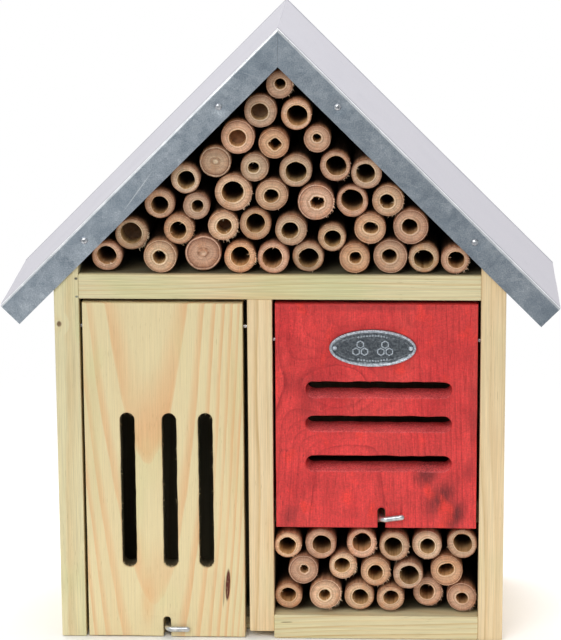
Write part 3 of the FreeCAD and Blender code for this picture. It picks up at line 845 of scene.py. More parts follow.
def whiskers(places, length, seed, stout=1.0):
    """Short torn fibres at (place, direction) pairs, as thin tapered curls."""
    dice = random.Random(seed)
    parts = []
    for place, direction in places:
        reach = length * dice.uniform(0.45, 1) * MM
        droop = Vector((dice.uniform(-0.5, 0.5), dice.uniform(-0.4, 0.1), dice.uniform(-0.5, 0.5)))
        path = []
        for step in range(4):
            share = step / 3
            path.append(place + (direction + droop * share).normalized() * reach * share)
        thick = dice.uniform(0.04, 0.08) * stout * MM
        radii = [thick, thick * 0.9, thick * 0.6, thick * 0.15]
        parts.append(swept(path, radii, radii, BACKWARD + RIGHT * 0.3, sides=5))
    return parts


# The left door's upright slots
LEFT_SLOT_PLACES = (-15.6, 2.2, 17.6)  # right of the door's middle, in millimetres
LEFT_SLOT_WIDTH = 6.3 * MM
LEFT_SLOT_LENGTH = 69 * MM
LEFT_SLOT_RISE = 31.4 * MM  # door's lower edge to the slots' lower end

# The red door's level slots
RED_SLOT_PLACES = (28.7, 46.2, 61.2)  # above the door's lower edge, in millimetres
RED_SLOT_WIDTH = 6.9 * MM
RED_SLOT_LENGTH = 61.8 * MM
RED_SLOT_SHIFT = 1.0 * MM  # right of the door's middle
RED_SLOT_TILT = math.radians(8.7)  # climb towards the back

NOTCH_WIDTH = 3.3 * MM
NOTCH_HEIGHT = 9.0 * MM


def pivot_holes(door, node):
    """Drills the door for its two pivot nails, a little wider and deeper than they are."""
    low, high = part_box(node)
    for solid in islands(node + "_pivot_nails"):
        centre, nail_low, nail_high = middle_of(solid)
        shank = [p for p in solid if low.x < p.x < high.x]
        _, shank_low, shank_high = middle_of(shank)
        radius = (shank_high.z - shank_low.z) / 2 + 0.05 * MM
        if centre.x < (low.x + high.x) / 2:
            ends = (nail_low.x, nail_high.x + 1 * MM)
        else:
            ends = (nail_low.x - 1 * MM, nail_high.x)
        drill(door, Vector((ends[0], centre.y, centre.z)), Vector((ends[1], centre.y, centre.z)), radius)


def hook_place(node):
    """The middle of the hook's shank, where it enters the wood."""
    points = [v.co for v in nodes[node].data.vertices]
    deepest = max(p.y for p in points)
    return middle_of([p for p in points if p.y > deepest - 0.1 * MM])[0]


def door_piece(node, material, loops, rises, torn, fibre_length, seed):
    """A door's board from its outline and slots, with torn fibres, drilled for its pivot nails."""
    low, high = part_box(node)
    board = plate(loops, low.y, high.y, EASE, rises)
    vertices, faces = joined([board] + whiskers(torn, fibre_length, seed))
    door = mesh_piece(node + "_board", vertices, faces, material, node, (node,))
    pivot_holes(door, node)
    return door


def left_door_piece(material):
    low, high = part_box("left_door")
    half_width = LEFT_SLOT_WIDTH / 2
    loops = [door_outline(low, high, hook_place("left_hook").x, NOTCH_WIDTH, NOTCH_HEIGHT, 3.3)]
    torn = []
    dice = random.Random(5)
    for number, across in enumerate(LEFT_SLOT_PLACES):
        x = (low.x + high.x) / 2 + across * MM
        z = low.z + LEFT_SLOT_RISE + LEFT_SLOT_LENGTH / 2
        loops.append(slot_loop(x, z, LEFT_SLOT_WIDTH, LEFT_SLOT_LENGTH, True, 11.7 + number * 5.1))
        for _ in range(44):
            way = dice.choice((-1, 1))
            angle = dice.uniform(0.15, 0.85) * math.pi
            end = dice.choice((-1, -1, 1))
            spot = Vector((x + half_width * math.cos(angle), 0, z))
            spot.z += end * ((LEFT_SLOT_LENGTH - LEFT_SLOT_WIDTH) / 2 + half_width * math.sin(angle))
            if dice.random() < 0.5:
                spot = Vector((x + way * half_width, 0, z + dice.uniform(-0.46, 0.46) * LEFT_SLOT_LENGTH))
            spot.y = low.y + dice.uniform(0.3, 2.5) * MM
            inward = Vector((x, spot.y, z)) - spot
            inward.z *= 0.12
            torn.append((spot, inward.normalized()))
    return door_piece("left_door", material, loops, (0, 0, 0, 0), torn, 1.3, 9)


def red_door_piece(material):
    low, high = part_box("red_door")
    loops = [door_outline(low, high, hook_place("red_hook").x, NOTCH_WIDTH, NOTCH_HEIGHT, 7.9)]
    torn = []
    dice = random.Random(15)
    for number, rise in enumerate(RED_SLOT_PLACES):
        x = (low.x + high.x) / 2 + RED_SLOT_SHIFT
        z = low.z + rise * MM
        loops.append(slot_loop(x, z, RED_SLOT_WIDTH, RED_SLOT_LENGTH, False, 31.7 + number * 4.3))
        for _ in range(9):
            way = dice.choice((-1, 1))
            along = dice.uniform(-0.45, 0.45) * RED_SLOT_LENGTH
            deep = dice.uniform(0.3, 2) * MM
            spot = Vector((x + along, low.y + deep, z + way * RED_SLOT_WIDTH / 2))
            torn.append((spot, Vector((dice.uniform(-0.6, 0.6), 0, -way)).normalized()))
    climb = (high.y - low.y) * math.tan(RED_SLOT_TILT)
    rises = (0, climb, climb, climb)
    door = door_piece("red_door", material, loops, rises, torn, 0.6, 19)
    for solid in islands("badge_pins"):
        centre, _, pin_high = middle_of(solid)
        _, shank_low, shank_high = middle_of([p for p in solid if p.y > low.y + 0.5 * MM])
        start = Vector((centre.x, low.y - 1 * MM, centre.z))
        drill(door, start, Vector((centre.x, pin_high.y, centre.z)), (shank_high.x - shank_low.x) / 2)
    return door


# Bamboo

SPECIAL_TUBES = {
    ("gable_tubes_row_1", 0): {"chip": True},
    ("gable_tubes_row_1", 1): {"wild": 0.05},
    ("gable_tubes_row_1", 2): {"pith": "rough"},
    ("gable_tubes_row_1", 4): {"chip": True},
    ("gable_tubes_row_2", 0): {"septum": 9.0},
    ("gable_tubes_row_2", 2): {"septum": 10.0},
    ("gable_tubes_row_2", 4): {"chip": True},
    ("gable_tubes_row_2", 6): {"oval": 0.14},
    ("gable_tubes_row_3", 4): {"wild": 0.16},
    ("gable_tubes_row_4", 1): {"pith": "smooth"},
    ("gable_tubes_row_5", 0): {"septum": 6.0},
    ("gable_tubes_row_5", 1): {"square": 0.09},
    ("gable_tubes_row_6", 0): {"septum": 7.0},
    ("nook_tube_07", 0): {"wild": 0.2},
    ("nook_tube_11", 0): {"oval": 0.16},
}
TUBE_SIDES = 72


class Cane:
    """One cut bamboo tube, grown from the CAD tube's solid."""

    def __init__(self, solid, seed, traits):
        centre, low, high = middle_of(solid)
        self.dice = random.Random(seed)
        self.traits = traits
        self.seed = seed
        self.x, self.z = centre.x, centre.z
        self.radius = (high.x - low.x) / 2
        self.front = low.y
        self.back = high.y
        inside = []
        for point in solid:
            far = math.hypot(point.x - self.x, point.z - self.z)
            if point.y < low.y + 0.05 * MM and far < self.radius - 0.1 * MM:
                inside.append(point)
        self.bore = 0.0
        self.bore_x, self.bore_z = self.x, self.z
        if inside:
            bore_centre, bore_low, bore_high = middle_of(inside)
            self.bore_x, self.bore_z = bore_centre.x, bore_centre.z
            self.bore = (bore_high.x - bore_low.x) / 2
        self.vertices = []
        self.shares = []
        self.middles = []
        self.faces = []
        self.kinds = []
        self.tint = self.dice.random()
        self.slope = Vector((self.dice.uniform(-1, 1), 0, self.dice.uniform(-1, 1))) * 0.035

    def outer(self, angle, deep=0.0):
        """The skin's radius: a little out of round, and never beyond the CAD tube's."""
        around = Vector((math.cos(angle) * 1.1, deep / (25 * MM), math.sin(angle) * 1.1))
        place = around + Vector((self.seed * 3.7, 0, 0))
        fine = noise.noise(place * 3.1)
        return self.radius * (0.985 + 0.012 * noise.noise(place) + 0.004 * fine) - 0.02 * MM

    def inner(self, angle):
        """The bore's radius at an angle."""
        around = Vector((math.cos(angle), self.seed * 2.3, math.sin(angle)))
        wild = self.traits.get("wild", 0.0)
        shape = 1 + 0.05 * noise.noise(around * 1.2) + (0.02 + wild) * noise.noise(around * 2.9)
        shape += 0.012 * noise.noise(around * 9)
        shape += self.traits.get("oval", 0.03) * math.cos(2 * angle + self.seed)
        shape += self.traits.get("square", 0.0) * math.cos(4 * angle + 0.4)
        return self.bore * shape

    def sawn(self, x, z):
        """How far in front of or behind the mean cut the face is at a point."""
        tilt = (x - self.x) * self.slope.x + (z - self.z) * self.slope.z
        rough = noise.noise(Vector((x / (1.6 * MM), self.seed, z / (0.5 * MM))))
        grain = noise.noise(Vector((x / (0.6 * MM), self.seed + 9, z / (0.6 * MM))))
        return tilt * 4 + rough * 0.07 * MM + grain * 0.04 * MM

    def chipped(self, angle):
        """How far the skin's edge has broken back at an angle."""
        around = Vector((math.cos(angle) * 2.2, self.seed * 5.1, math.sin(angle) * 2.2))
        broken = max(0.0, noise.noise(around) - 0.12) * 2.2 + max(0.0, noise.noise(around * 3) - 0.2) * 0.9
        return broken * 0.9 * MM

    def ring(self, radius_at, y_at, share, blend=0.0):
        """Adds a ring of vertices. blend carries its middle from the bore's to the skin's."""
        first = len(self.vertices)
        for side in range(TUBE_SIDES):
            angle = 2 * math.pi * side / TUBE_SIDES
            radius = radius_at(angle)
            x = self.bore_x + (self.x - self.bore_x) * blend + radius * math.cos(angle)
            z = self.bore_z + (self.z - self.bore_z) * blend + radius * math.sin(angle)
            self.vertices.append(Vector((x, y_at(x, z), z)))
            self.shares.append(share)
            self.middles.append(((x - self.bore_x) / MM, 0, (z - self.bore_z) / MM))
        return first

    def band(self, first, second, kind):
        for side in range(TUBE_SIDES):
            after = (side + 1) % TUBE_SIDES
            self.faces.append((first + side, second + side, second + after, first + after))
            self.kinds.append(kind)

    def lid(self, first, kind, turned_round=False):
        loop = tuple(range(first, first + TUBE_SIDES))
        self.faces.append(loop[::-1] if turned_round else loop)
        self.kinds.append(kind)

    def cut_face(self, share):
        """The radius between bore and skin at each angle, and the face's depth there."""
        return lambda angle: self.inner(angle) * (1 - share) + self.outer(angle) * share

    def build(self):
        chamfer = 0.28 * MM
        rear = self.ring(lambda a: self.outer(a, self.back - self.front), lambda x, z: self.back, 1, 1)
        self.lid(rear, 1)
        before = rear
        for place in (0.75, 0.5, 0.25, 0.08):
            deep = (self.back - self.front) * place
            skin = self.ring(lambda a: self.outer(a, deep), lambda x, z: self.front + deep, 1, 1)
            self.band(before, skin, 1)
            before = skin
        face = lambda x, z: self.front + 0.3 * MM + self.sawn(x, z)
        torn = lambda x, z: self.chipped(math.atan2(z - self.z, x - self.x))
        shoulder = self.ring(lambda a: self.outer(a), lambda x, z: face(x, z) + chamfer + torn(x, z), 1, 1)
        self.band(before, shoulder, 1)
        before = self.ring(
            lambda a: self.outer(a) - chamfer * 0.5,
            lambda x, z: face(x, z) + chamfer * 0.25 + torn(x, z) * 0.9,
            1,
            1,
        )
        self.band(shoulder, before, 1)
        edge = self.ring(lambda a: self.outer(a) - chamfer, face, 0.98, 1)
        self.band(before, edge, 0)
        before = edge
        if self.bore:
            for share in (0.86, 0.7, 0.54, 0.38, 0.22, 0.1):
                ring = self.ring(self.cut_face(share), face, share, share)
                self.band(before, ring, 0)
                before = ring
            self.open_bore(before, face)
        else:
            self.pith(before, face)
        return self

    def open_bore(self, before, face):
        """The lip, the bore's wall and the rough node that closes it."""
        lip = self.ring(lambda a: self.inner(a) + 0.12 * MM, face, 0.02)
        self.band(before, lip, 0)
        before = lip
        depth = self.traits.get("septum", (self.back - self.front) / MM - 3)
        for deep, shrink in ((0.2, 0.0), (0.8, 0.03), (depth * 0.5 + 0.5, 0.05), (depth, 0.1)):
            ring = self.ring(
                lambda a: self.inner(a) - shrink * MM,
                lambda x, z: face(x, z) * 0.4 + self.front * 0.6 + deep * MM,
                0,
            )
            self.band(before, ring, 2)
            before = ring
        bottom = self.front + depth * MM
        for share in (0.82, 0.6, 0.38, 0.16):
            dish = 0.9 * MM * (1 - share * share)
            ring = self.ring(
                lambda a: self.inner(a) * share,
                lambda x, z: bottom + dish + 0.5 * MM * noise.noise(Vector((x, self.seed, z)) / (1.5 * MM)),
                0,
            )
            self.band(before, ring, 3)
            before = ring
        self.lid(before, 3, True)

    def pith(self, before, face):
        """A solid end: a node's closed face with a small sunken ring or a rough core."""
        rough = self.traits.get("pith") == "rough"
        amount = 1.1 if rough else 0.12
        for share in (0.86, 0.72, 0.6, 0.48, 0.36, 0.28, 0.22, 0.16, 0.1, 0.04):
            groove = 0.55 * MM * math.exp(-(((share - 0.26) / 0.05) ** 2))
            core = amount * MM * (1 - share)
            ring = self.ring(
                lambda a: self.outer(a) * share * (1 + 0.12 * math.cos(2 * a) * (1 - share)),
                lambda x, z: face(x, z) + groove + core * (0.6 + 0.9 * self.bumpy(x, z)),
                share,
                1,
            )
            self.band(before, ring, 0)
            before = ring
        self.lid(before, 0, True)

    def bumpy(self, x, z):
        return noise.noise(Vector((x, self.seed, z)) / (1.1 * MM))

    def frays(self):
        """Torn fibres at the skin's edge and the bore's lip."""
        places = []
        dice = self.dice
        frayed = dice.random() < 0.3
        for _ in range(dice.randrange(14, 24) if frayed else dice.randrange(1, 5)):
            angle = dice.gauss(-0.3, 0.6 if frayed else 1.4)
            radius = self.outer(angle) - 0.25 * MM
            spot = Vector((self.x + radius * math.cos(angle), self.front + 0.3 * MM, 0))
            spot.z = self.z + radius * math.sin(angle)
            way = Vector((math.cos(angle) * 0.55, -0.7, math.sin(angle) * 0.55 - 0.2))
            places.append((spot, way.normalized()))
        if self.bore:
            for _ in range(dice.randrange(0, 3)):
                angle = dice.uniform(0, 2 * math.pi)
                radius = self.inner(angle)
                spot = Vector((self.bore_x + radius * math.cos(angle), self.front + 0.35 * MM, 0))
                spot.z = self.bore_z + radius * math.sin(angle)
                places.append((spot, Vector((-math.cos(angle), -0.15, -math.sin(angle))).normalized()))
        parts = whiskers(places, 1.7 if frayed else 1.0, self.seed, 1.6)
        if self.traits.get("chip"):
            parts.extend(self.chips())
        return parts

    def chips(self):
        """Small flakes caught on the lower edge of the bore."""
        parts = []
        widths = [0.3 * MM, 0.42 * MM, 0.36 * MM, 0.1 * MM]
        for _ in range(4):
            angle = self.dice.uniform(-2.2, -0.9)
            radius = self.inner(angle) * self.dice.uniform(0.9, 1.15)
            spot = Vector((self.bore_x + radius * math.cos(angle), self.front + 0.1 * MM, 0))
            spot.z = self.bore_z + radius * math.sin(angle)
            far = spot + Vector((self.dice.uniform(-1, 1), -0.2, self.dice.uniform(-0.5, 0.2))) * MM
            path = [spot.lerp(far, step / 3) for step in range(4)]
            parts.append(swept(path, widths, 0.1 * MM, BACKWARD, sides=6))
        return parts


def cane_piece(node, material):
    """Every tube of one CAD node as one piece."""
    parts = []
    shares = []
    middles = []
    kinds = []
    tints = []
    cut_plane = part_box(node)[0].y
    row = int(node[-2:]) * 3 if node[-2:].isdigit() else 0
    for number, solid in enumerate(islands(node)):
        seed = sum(ord(letter) for letter in node) % 97 + number * 7 + row
        cane = Cane(solid, seed, SPECIAL_TUBES.get((node, number), {})).build()
        parts.append((cane.vertices, cane.faces))
        shares += cane.shares
        middles += cane.middles
        kinds += cane.kinds
        tints += [cane.tint] * len(cane.faces)
        for fray in cane.frays():
            fray_vertices, fray_faces = fray
            parts.append(fray)
            shares += [0.1] * len(fray_vertices)
            middles += [(0, 0, 0)] * len(fray_vertices)
            kinds += [0] * len(fray_faces)
            tints += [cane.tint] * len(fray_faces)
    vertices, faces = joined(parts)
    layers = {
        "share": ("POINT", "FLOAT", shares),
        "from_middle": ("POINT", "FLOAT_VECTOR", middles),
        "kind": ("FACE", "FLOAT", kinds),
        "tint": ("FACE", "FLOAT", tints),
        "deep": ("POINT", "FLOAT", [(vertex.y - cut_plane) / MM for vertex in vertices]),
    }
    name = node.replace("tubes", "canes").replace("tube", "cane")
    return mesh_piece(name, vertices, faces, material, "cabinet", (node,), values=layers)


# Roof sheet


def roof_nail_heads():
    """The outermost point of each roof nail, as (x, y, z), from the CAD nails."""
    heads = []
    for solid in islands("roof_nails"):
        centre, low, high = middle_of(solid)
        outside = max(low.y, high.y, key=abs)
        heads.append(Vector((centre.x, outside, centre.z)))
    return heads


def sheet_profile(y_front, y_back):
    """The bent sheet's outer line across the roof: (y, depth into the roof), with rounded folds."""
    points = []
    for step in range(13):
        points.append((y_front, FASCIA - (FASCIA - FOLD) * step / 12))
    for step in range(1, 6):
        turn = math.pi / 2 * step / 6
        points.append((y_front + FOLD * (1 - math.cos(turn)), FOLD * (1 - math.sin(turn))))
    for step in range(25):
        points.append((y_front + FOLD + (y_back - y_front - 2 * FOLD) * step / 24, 0.0))
    for step in range(1, 6):
        turn = math.pi / 2 * step / 6
        points.append((y_back - FOLD * (1 - math.sin(turn)), FOLD * (1 - math.cos(turn))))
    for step in range(13):
        points.append((y_back, FOLD + (FASCIA - FOLD) * step / 12))
    return points


def sheet_piece(material):
    low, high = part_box("roof_sheet")
    heads = roof_nail_heads()
    outline = sheet_profile(low.y, high.y)
    inside = []
    for y, deep in outline:
        flat_y = min(max(y, low.y + SHEET), high.y - SHEET)
        inside.append((flat_y, max(deep, SHEET) if deep < FASCIA - 0.01 * MM else deep))
    section = outline + inside[::-1]
    slope = high.x / math.cos(PITCH)
    steps = 150
    parts = []
    for hand in (-1, 1):
        vertices = []
        for row in range(steps + 1):
            for y, deep in section:
                along = deep * math.tan(PITCH) + (slope - deep * math.tan(PITCH)) * row / steps
                if abs(y) > high.y - 2 * MM and deep > 2 * MM:
                    along = max(along, deep * math.tan(PITCH) + 0.03 * MM / math.cos(PITCH))
                x = hand * (along * math.cos(PITCH) - deep * math.sin(PITCH))
                z = high.z - along * math.sin(PITCH) - deep * math.cos(PITCH)
                vertices.append(dented(x, y, z, along, deep, heads, high.y, hand))
        count = len(section)
        faces = stitched(range(0, len(vertices), count), count)
        for end in (0, steps * count):
            loop = range(end, end + count)
            half = len(outline)
            for place in range(half - 1):
                mirrored = count - 1 - place
                faces.append((loop[place], loop[place + 1], loop[mirrored - 1], loop[mirrored]))
        parts.append((vertices, faces))
    vertices, faces = joined(parts)
    replaced = ("roof_sheet",)
    name = "roof_cladding"
    return mesh_piece(name, vertices, faces, material, "cabinet", replaced, sharp=50)


def dented(x, y, z, along, deep, heads, edge, hand):
    """The sheet's point after hand bending: slow waves, small dents, and a dimple round each nail."""
    facing = -1 if y < 0 else 1
    if abs(y) > edge - 1.2 * MM:
        wave = noise.noise(Vector((along / (24 * MM), hand * 3.1 + facing, deep / (9 * MM))))
        ripple = noise.noise(Vector((along / (6 * MM), hand * 5.3 + facing, deep / (5 * MM))))
        push = 0.16 * MM * (wave + 0.5) + 0.05 * MM * (ripple + 0.5)
        for head in heads:
            if head.y * facing > 0:
                far = math.hypot(x - head.x, z - head.z) / MM
                push += 0.42 * MM * math.exp(-((far / 2.6) ** 2))
        push = max(push, 0.0)
        return Vector((x, y - facing * push, z))
    wave = noise.noise(Vector((along / (34 * MM), hand * 1.7, y / (22 * MM))))
    ripple = noise.noise(Vector((along / (9 * MM), hand * 7.3, y / (9 * MM))))
    push = max(0.0, 0.14 * MM * (wave + 0.4) + 0.04 * MM * (ripple + 0.4))
    push *= min(1.0, (edge - abs(y)) / (6 * MM))
    return Vector((x - hand * push * math.sin(PITCH), y, z - push * math.cos(PITCH)))


NAIL_RADIUS = 0.7 * MM


def nail_piece(steel):
    """Domed roof nails, seated a little out of true."""
    parts = []
    dice = random.Random(21)
    for solid in islands("roof_nails"):
        centre, low, high = middle_of(solid)
        facing = BACKWARD if abs(low.y) > abs(high.y) else -BACKWARD
        tip = low.y if facing.y > 0 else high.y
        length = high.y - low.y
        head = (high.x - low.x) / 2
        start = Vector((centre.x, tip, centre.z))
        tilt = Vector((dice.uniform(-0.03, 0.03), 0, dice.uniform(-0.03, 0.03)))
        profile = []
        for step in range(9):
            turn = math.pi / 2 * step / 8
            deep = 0.95 * MM * (1 - math.cos(turn)) + 0.03 * MM
            profile.append((deep, max(head * math.sin(turn), 0.05 * MM)))
        profile += [(1.05 * MM, head * 0.97), (1.1 * MM, head * 0.6), (1.15 * MM, NAIL_RADIUS)]
        profile += [(length - 1.6 * MM, NAIL_RADIUS), (length - 0.1 * MM, 0.12 * MM)]
        parts.append(turned(start, facing + tilt, profile))
    vertices, faces = joined(parts)
    return mesh_piece("roof_nail_set", vertices, faces, steel, "cabinet", ("roof_nails",))


# Hooks and badge


def hook_piece(node, body, material):
    """A bent wire hook with a rounded, slightly flattened arm, along the CAD hook's line."""
    points = [v.co.copy() for v in nodes[node].data.vertices]
    low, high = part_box(node)
    shank = hook_place(node)
    wire = 1.2 * MM  # its radius
    arm_y = low.y + wire
    tip = middle_of([p for p in points if p.x > high.x - 2.2 * wire])[0]
    bend = 2.4 * MM
    rise = (tip.z - shank.z) / max(tip.x - shank.x, MM)
    across = Vector((1, 0, rise)).normalized()
    reach = (high.x - shank.x) / across.x - wire * abs(across.z)
    path = [Vector((shank.x, high.y, shank.z)), Vector((shank.x, high.y - 0.8 * MM, shank.z))]
    path += [Vector((shank.x, y * MM, shank.z)) for y in (-22, -28, -34)]
    origin = Vector((shank.x, arm_y + bend, shank.z)) + across * bend
    for step in range(11):
        turn = math.pi / 2 * step / 10
        path.append(origin - across * bend * math.cos(turn) - BACKWARD * bend * math.sin(turn))
    straight = path[-1].copy()
    end = Vector((shank.x, arm_y, shank.z)) + across * reach
    flat = [wire] * len(path)
    tall = [wire] * len(path)
    for share in (0.25, 0.5, 0.7, 0.85):
        path.append(straight.lerp(end - across * wire, share))
        flat.append(wire * (1 - 0.12 * share))
        tall.append(wire)
    for step in range(7):
        turn = math.pi / 2 * step / 6
        path.append(end - across * wire * (1 - math.sin(turn)))
        flat.append(wire * 0.86 * max(math.cos(turn), 0.06))
        tall.append(wire * max(math.cos(turn), 0.06))
    vertices, faces = swept(path, flat, tall, UP, sides=24)
    return mesh_piece(node + "_wire", vertices, faces, material, body, (node,))


def badge_piece(material):
    """An oval plate with a rolled rim, a hammered field, and hexagon cells and beads in relief."""
    low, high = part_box("badge_plate")
    centre = (low + high) / 2
    long = (high.x - low.x) / 2
    short = (high.z - low.z) / 2
    rim = 1.3 * MM
    back = high.y
    field = 0.7 * MM
    top = high.y - low.y

    def height(x, z, inward):
        """The plate's thickness at a point that is inward from the edge."""
        if inward < rim:
            share = inward / rim
            return top - (top - 0.35 * MM) * (2 * share - 1) ** 4 * (1 if share < 0.5 else 0.6)
        hammered = 0.05 * MM * noise.noise(Vector((x, 0, z)) / (1.4 * MM))
        slope = max(0.0, 1 - (inward - rim) / (0.5 * MM))
        line = 0.09 * MM * math.exp(-(((inward - rim - 1.3 * MM) / (0.22 * MM)) ** 2))
        return field - 0.08 * MM + hammered + 0.16 * MM * slope + line

    sides = 144
    shares = [0.0, 0.15, 0.3, 0.5, 0.7, 0.85, 1.0, 1.15, 1.4, 1.8, 2.2, 2.4, 2.6, 2.8, 3.2]
    insets = [share * MM for share in shares]
    vertices = []

    def add_ring(x_half, z_half, y_at):
        for cosine, sine in spun(sides):
            x = centre.x + x_half * cosine
            z = centre.z + z_half * sine
            vertices.append(Vector((x, y_at(x, z), z)))

    add_ring(long, short, lambda x, z: back)
    for inset in insets:
        add_ring(long - inset, short - inset, lambda x, z, i=inset: back - height(x, z, i))
    inner_long = long - insets[-1]
    inner_short = short - insets[-1]
    for share in (0.9, 0.8, 0.7, 0.6, 0.5, 0.4, 0.3, 0.2, 0.1, 0.02):
        add_ring(inner_long * share, inner_short * share, lambda x, z: back - height(x, z, 9 * MM))
    parts = [(vertices, capped_tube(vertices, sides))]
    cell = 2.05 * MM
    wall = 0.58 * MM
    base = back - field + 0.12 * MM
    for hand in (-1, 1):
        for across, up in ((-1, -0.5), (0, 0.5), (1, -0.5)):
            x = centre.x + hand * 5.2 * MM + across * cell * math.sqrt(3) / 2
            z = centre.z + up * cell * 1.5 + 0.1 * MM
            parts.append(hexagon(x, z, cell * 0.9, wall, base, back - field - 0.36 * MM))
    for way in (-1, 1):
        for number in range(-5, 6):
            x = centre.x + number * 1.2 * MM
            z = centre.z + way * (5.5 - 0.03 * number * number) * MM
            parts.append(hexagon(x, z, 0.46 * MM, 0.34 * MM, base, back - field - 0.3 * MM))
    vertices, faces = joined(parts)
    replaced = ("badge_plate",)
    return mesh_piece("badge_oval", vertices, faces, material, "red_door", replaced, sharp=30)


def hexagon(x, z, radius, wall, back, front):
    """A hexagon's raised wall, eased at its top edges."""
    ease = 0.08 * MM
    inner = radius - wall
    rings = ((radius, back), (radius, front + ease), (radius - ease, front))
    rings += ((inner + ease, front), (inner, front + ease), (inner, back))
    vertices = []
    for size, y in rings:
        for side in range(6):
            angle = math.pi / 6 + math.pi / 3 * side
            vertices.append(Vector((x + size * math.cos(angle), y, z + size * math.sin(angle))))
    return vertices, stitched([*range(0, len(vertices), 6), 0], 6)


# Stage


def area_light(name, place, target, size, power, tone=(1, 1, 1), glossy=True):
    data = bpy.data.lights.new(name, "AREA")
    data.shape = "RECTANGLE"
    data.size, data.size_y = size
    data.energy = power
    data.color = tone
    light = bpy.data.objects.new(name, data)
    light.location = place
    light.rotation_euler = (Vector(target) - Vector(place)).to_track_quat("-Z", "Y").to_euler()
    light.visible_glossy = glossy
    bpy.context.scene.collection.objects.link(light)


FRONT_LIGHT = 0.34
BACK_LIGHT = 1.15


def studio():
    world = bpy.data.worlds.new("studio")
    bpy.context.scene.world = world
    world.use_nodes = True
    tree = world.node_tree
    tree.nodes.clear()
    output = tree.nodes.new("ShaderNodeOutputWorld")
    seen = tree.nodes.new("ShaderNodeBackground")
    seen.inputs["Color"].default_value = (1, 1, 1, 1)
    seen.inputs["Strength"].default_value = 1.0
    soft = tree.nodes.new("ShaderNodeBackground")
    hue = tree.nodes.new("ShaderNodeMix")
    hue.data_type = "RGBA"
    hue.inputs[6].default_value = (0.93, 0.98, 1, 1)
    hue.inputs[7].default_value = (1, 0.945, 0.925, 1)
    tree.links.new(hue.outputs[2], soft.inputs["Color"])
    way = tree.nodes.new("ShaderNodeTexCoord")
    parts = tree.nodes.new("ShaderNodeSeparateXYZ")
    tree.links.new(way.outputs["Generated"], parts.inputs[0])
    brighter = tree.nodes.new("ShaderNodeMapRange")
    brighter.interpolation_type = "SMOOTHSTEP"
    for socket, value in zip(list(brighter.inputs)[1:5], (-0.75, 0.8, FRONT_LIGHT, BACK_LIGHT)):
        socket.default_value = value
    tree.links.new(parts.outputs[1], brighter.inputs[0])
    tree.links.new(brighter.outputs[0], soft.inputs["Strength"])
    backward = tree.nodes.new("ShaderNodeMapRange")
    for socket, value in zip(list(backward.inputs)[1:3], (-0.6, 0.6)):
        socket.default_value = value
    tree.links.new(parts.outputs[1], backward.inputs[0])
    tree.links.new(backward.outputs[0], hue.inputs[0])
    rays = tree.nodes.new("ShaderNodeLightPath")
    choice = tree.nodes.new("ShaderNodeMixShader")
    tree.links.new(rays.outputs["Is Camera Ray"], choice.inputs[0])
    tree.links.new(soft.outputs[0], choice.inputs[1])
    tree.links.new(seen.outputs[0], choice.inputs[2])
    tree.links.new(choice.outputs[0], output.inputs["Surface"])
    target = (0, 0, 0.13)
    area_light("key", (-0.45, -1.1, 0.95), target, (0.9, 0.7), 10.1, (0.985, 0.99, 0.97))
    area_light("fill", (0.8, -1.2, 0.35), target, (0.9, 0.9), 3.4, (0.985, 0.99, 0.98), False)
    area_light("top", (0.05, 0.35, 1.1), target, (1.2, 0.9), 7.0)
    bpy.context.scene.view_settings.view_transform = "Standard"


def floor_piece():
    mesh = bpy.data.meshes.new("studio_floor")
    tidy = bmesh.new()
    bmesh.ops.create_grid(tidy, x_segments=8, y_segments=8, size=2.5)
    tidy.to_mesh(mesh)
    tidy.free()
    mesh.materials.append(pale_floor())
    floor = bpy.data.objects.new("studio_floor", mesh)
    floor.location = (0, 0, CAD_FLOOR - 0.2 * MM)
    bpy.context.scene.collection.objects.link(floor)


def camera():
    """The photograph's view: from in front, a little above and to the right, with a long lens."""
    data = bpy.data.cameras.new("camera")
    data.sensor_fit = "VERTICAL"
    data.sensor_height = 36
    data.lens = 167.906
    data.clip_end = 20
    view = bpy.data.objects.new("camera", data)
    turn = Matrix.Rotation(math.radians(2.8026), 4, "Z")
    tip = Matrix.Rotation(math.radians(90 - 14.394), 4, "X")
    roll = Matrix.Rotation(math.radians(-0.3704), 4, "Z")
    view.matrix_world = Matrix.Translation((0.05983, -1.25468, 0.45336)) @ turn @ tip @ roll
    bpy.context.scene.collection.objects.link(view)
    bpy.context.scene.camera = view


def paint(material, *names):
    """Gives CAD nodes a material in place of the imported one."""
    for name in names:
        nodes[name].data.materials.clear()
        nodes[name].data.materials.append(material)


# Materials of this object

RESIN = colour(92, 38, 26)
WARM_STREAK = colour(226, 180, 128)
GREEN_STREAK = colour(196, 190, 140)
BROWN_STREAK = colour(214, 170, 112)
KNOT = colour(96, 62, 38)
NAIL_STAIN = colour(60, 62, 60)
PALE_STAIN = colour(96, 104, 104)
SMUDGE = colour(104, 36, 38)
LEFT_DOOR_MARKS = (
    dict(x=-22.9, z=23.9, long=8.2, wide=1.15, turn=3, strength=1.0, shade=RESIN, pit=0.4, soft=0.3),
    dict(x=-24.6, z=21, long=9, wide=0.5, turn=3, strength=0.5, shade=RESIN),
    dict(x=-57.5, z=17, long=17, wide=4.5, turn=2, strength=0.55, shade=WARM_STREAK, soft=0.9),
    dict(x=-79, z=92, long=60, wide=5, strength=0.3, shade=GREEN_STREAK, soft=1),
    dict(x=-20, z=96, long=60, wide=3.5, strength=0.3, shade=BROWN_STREAK, soft=1),
)
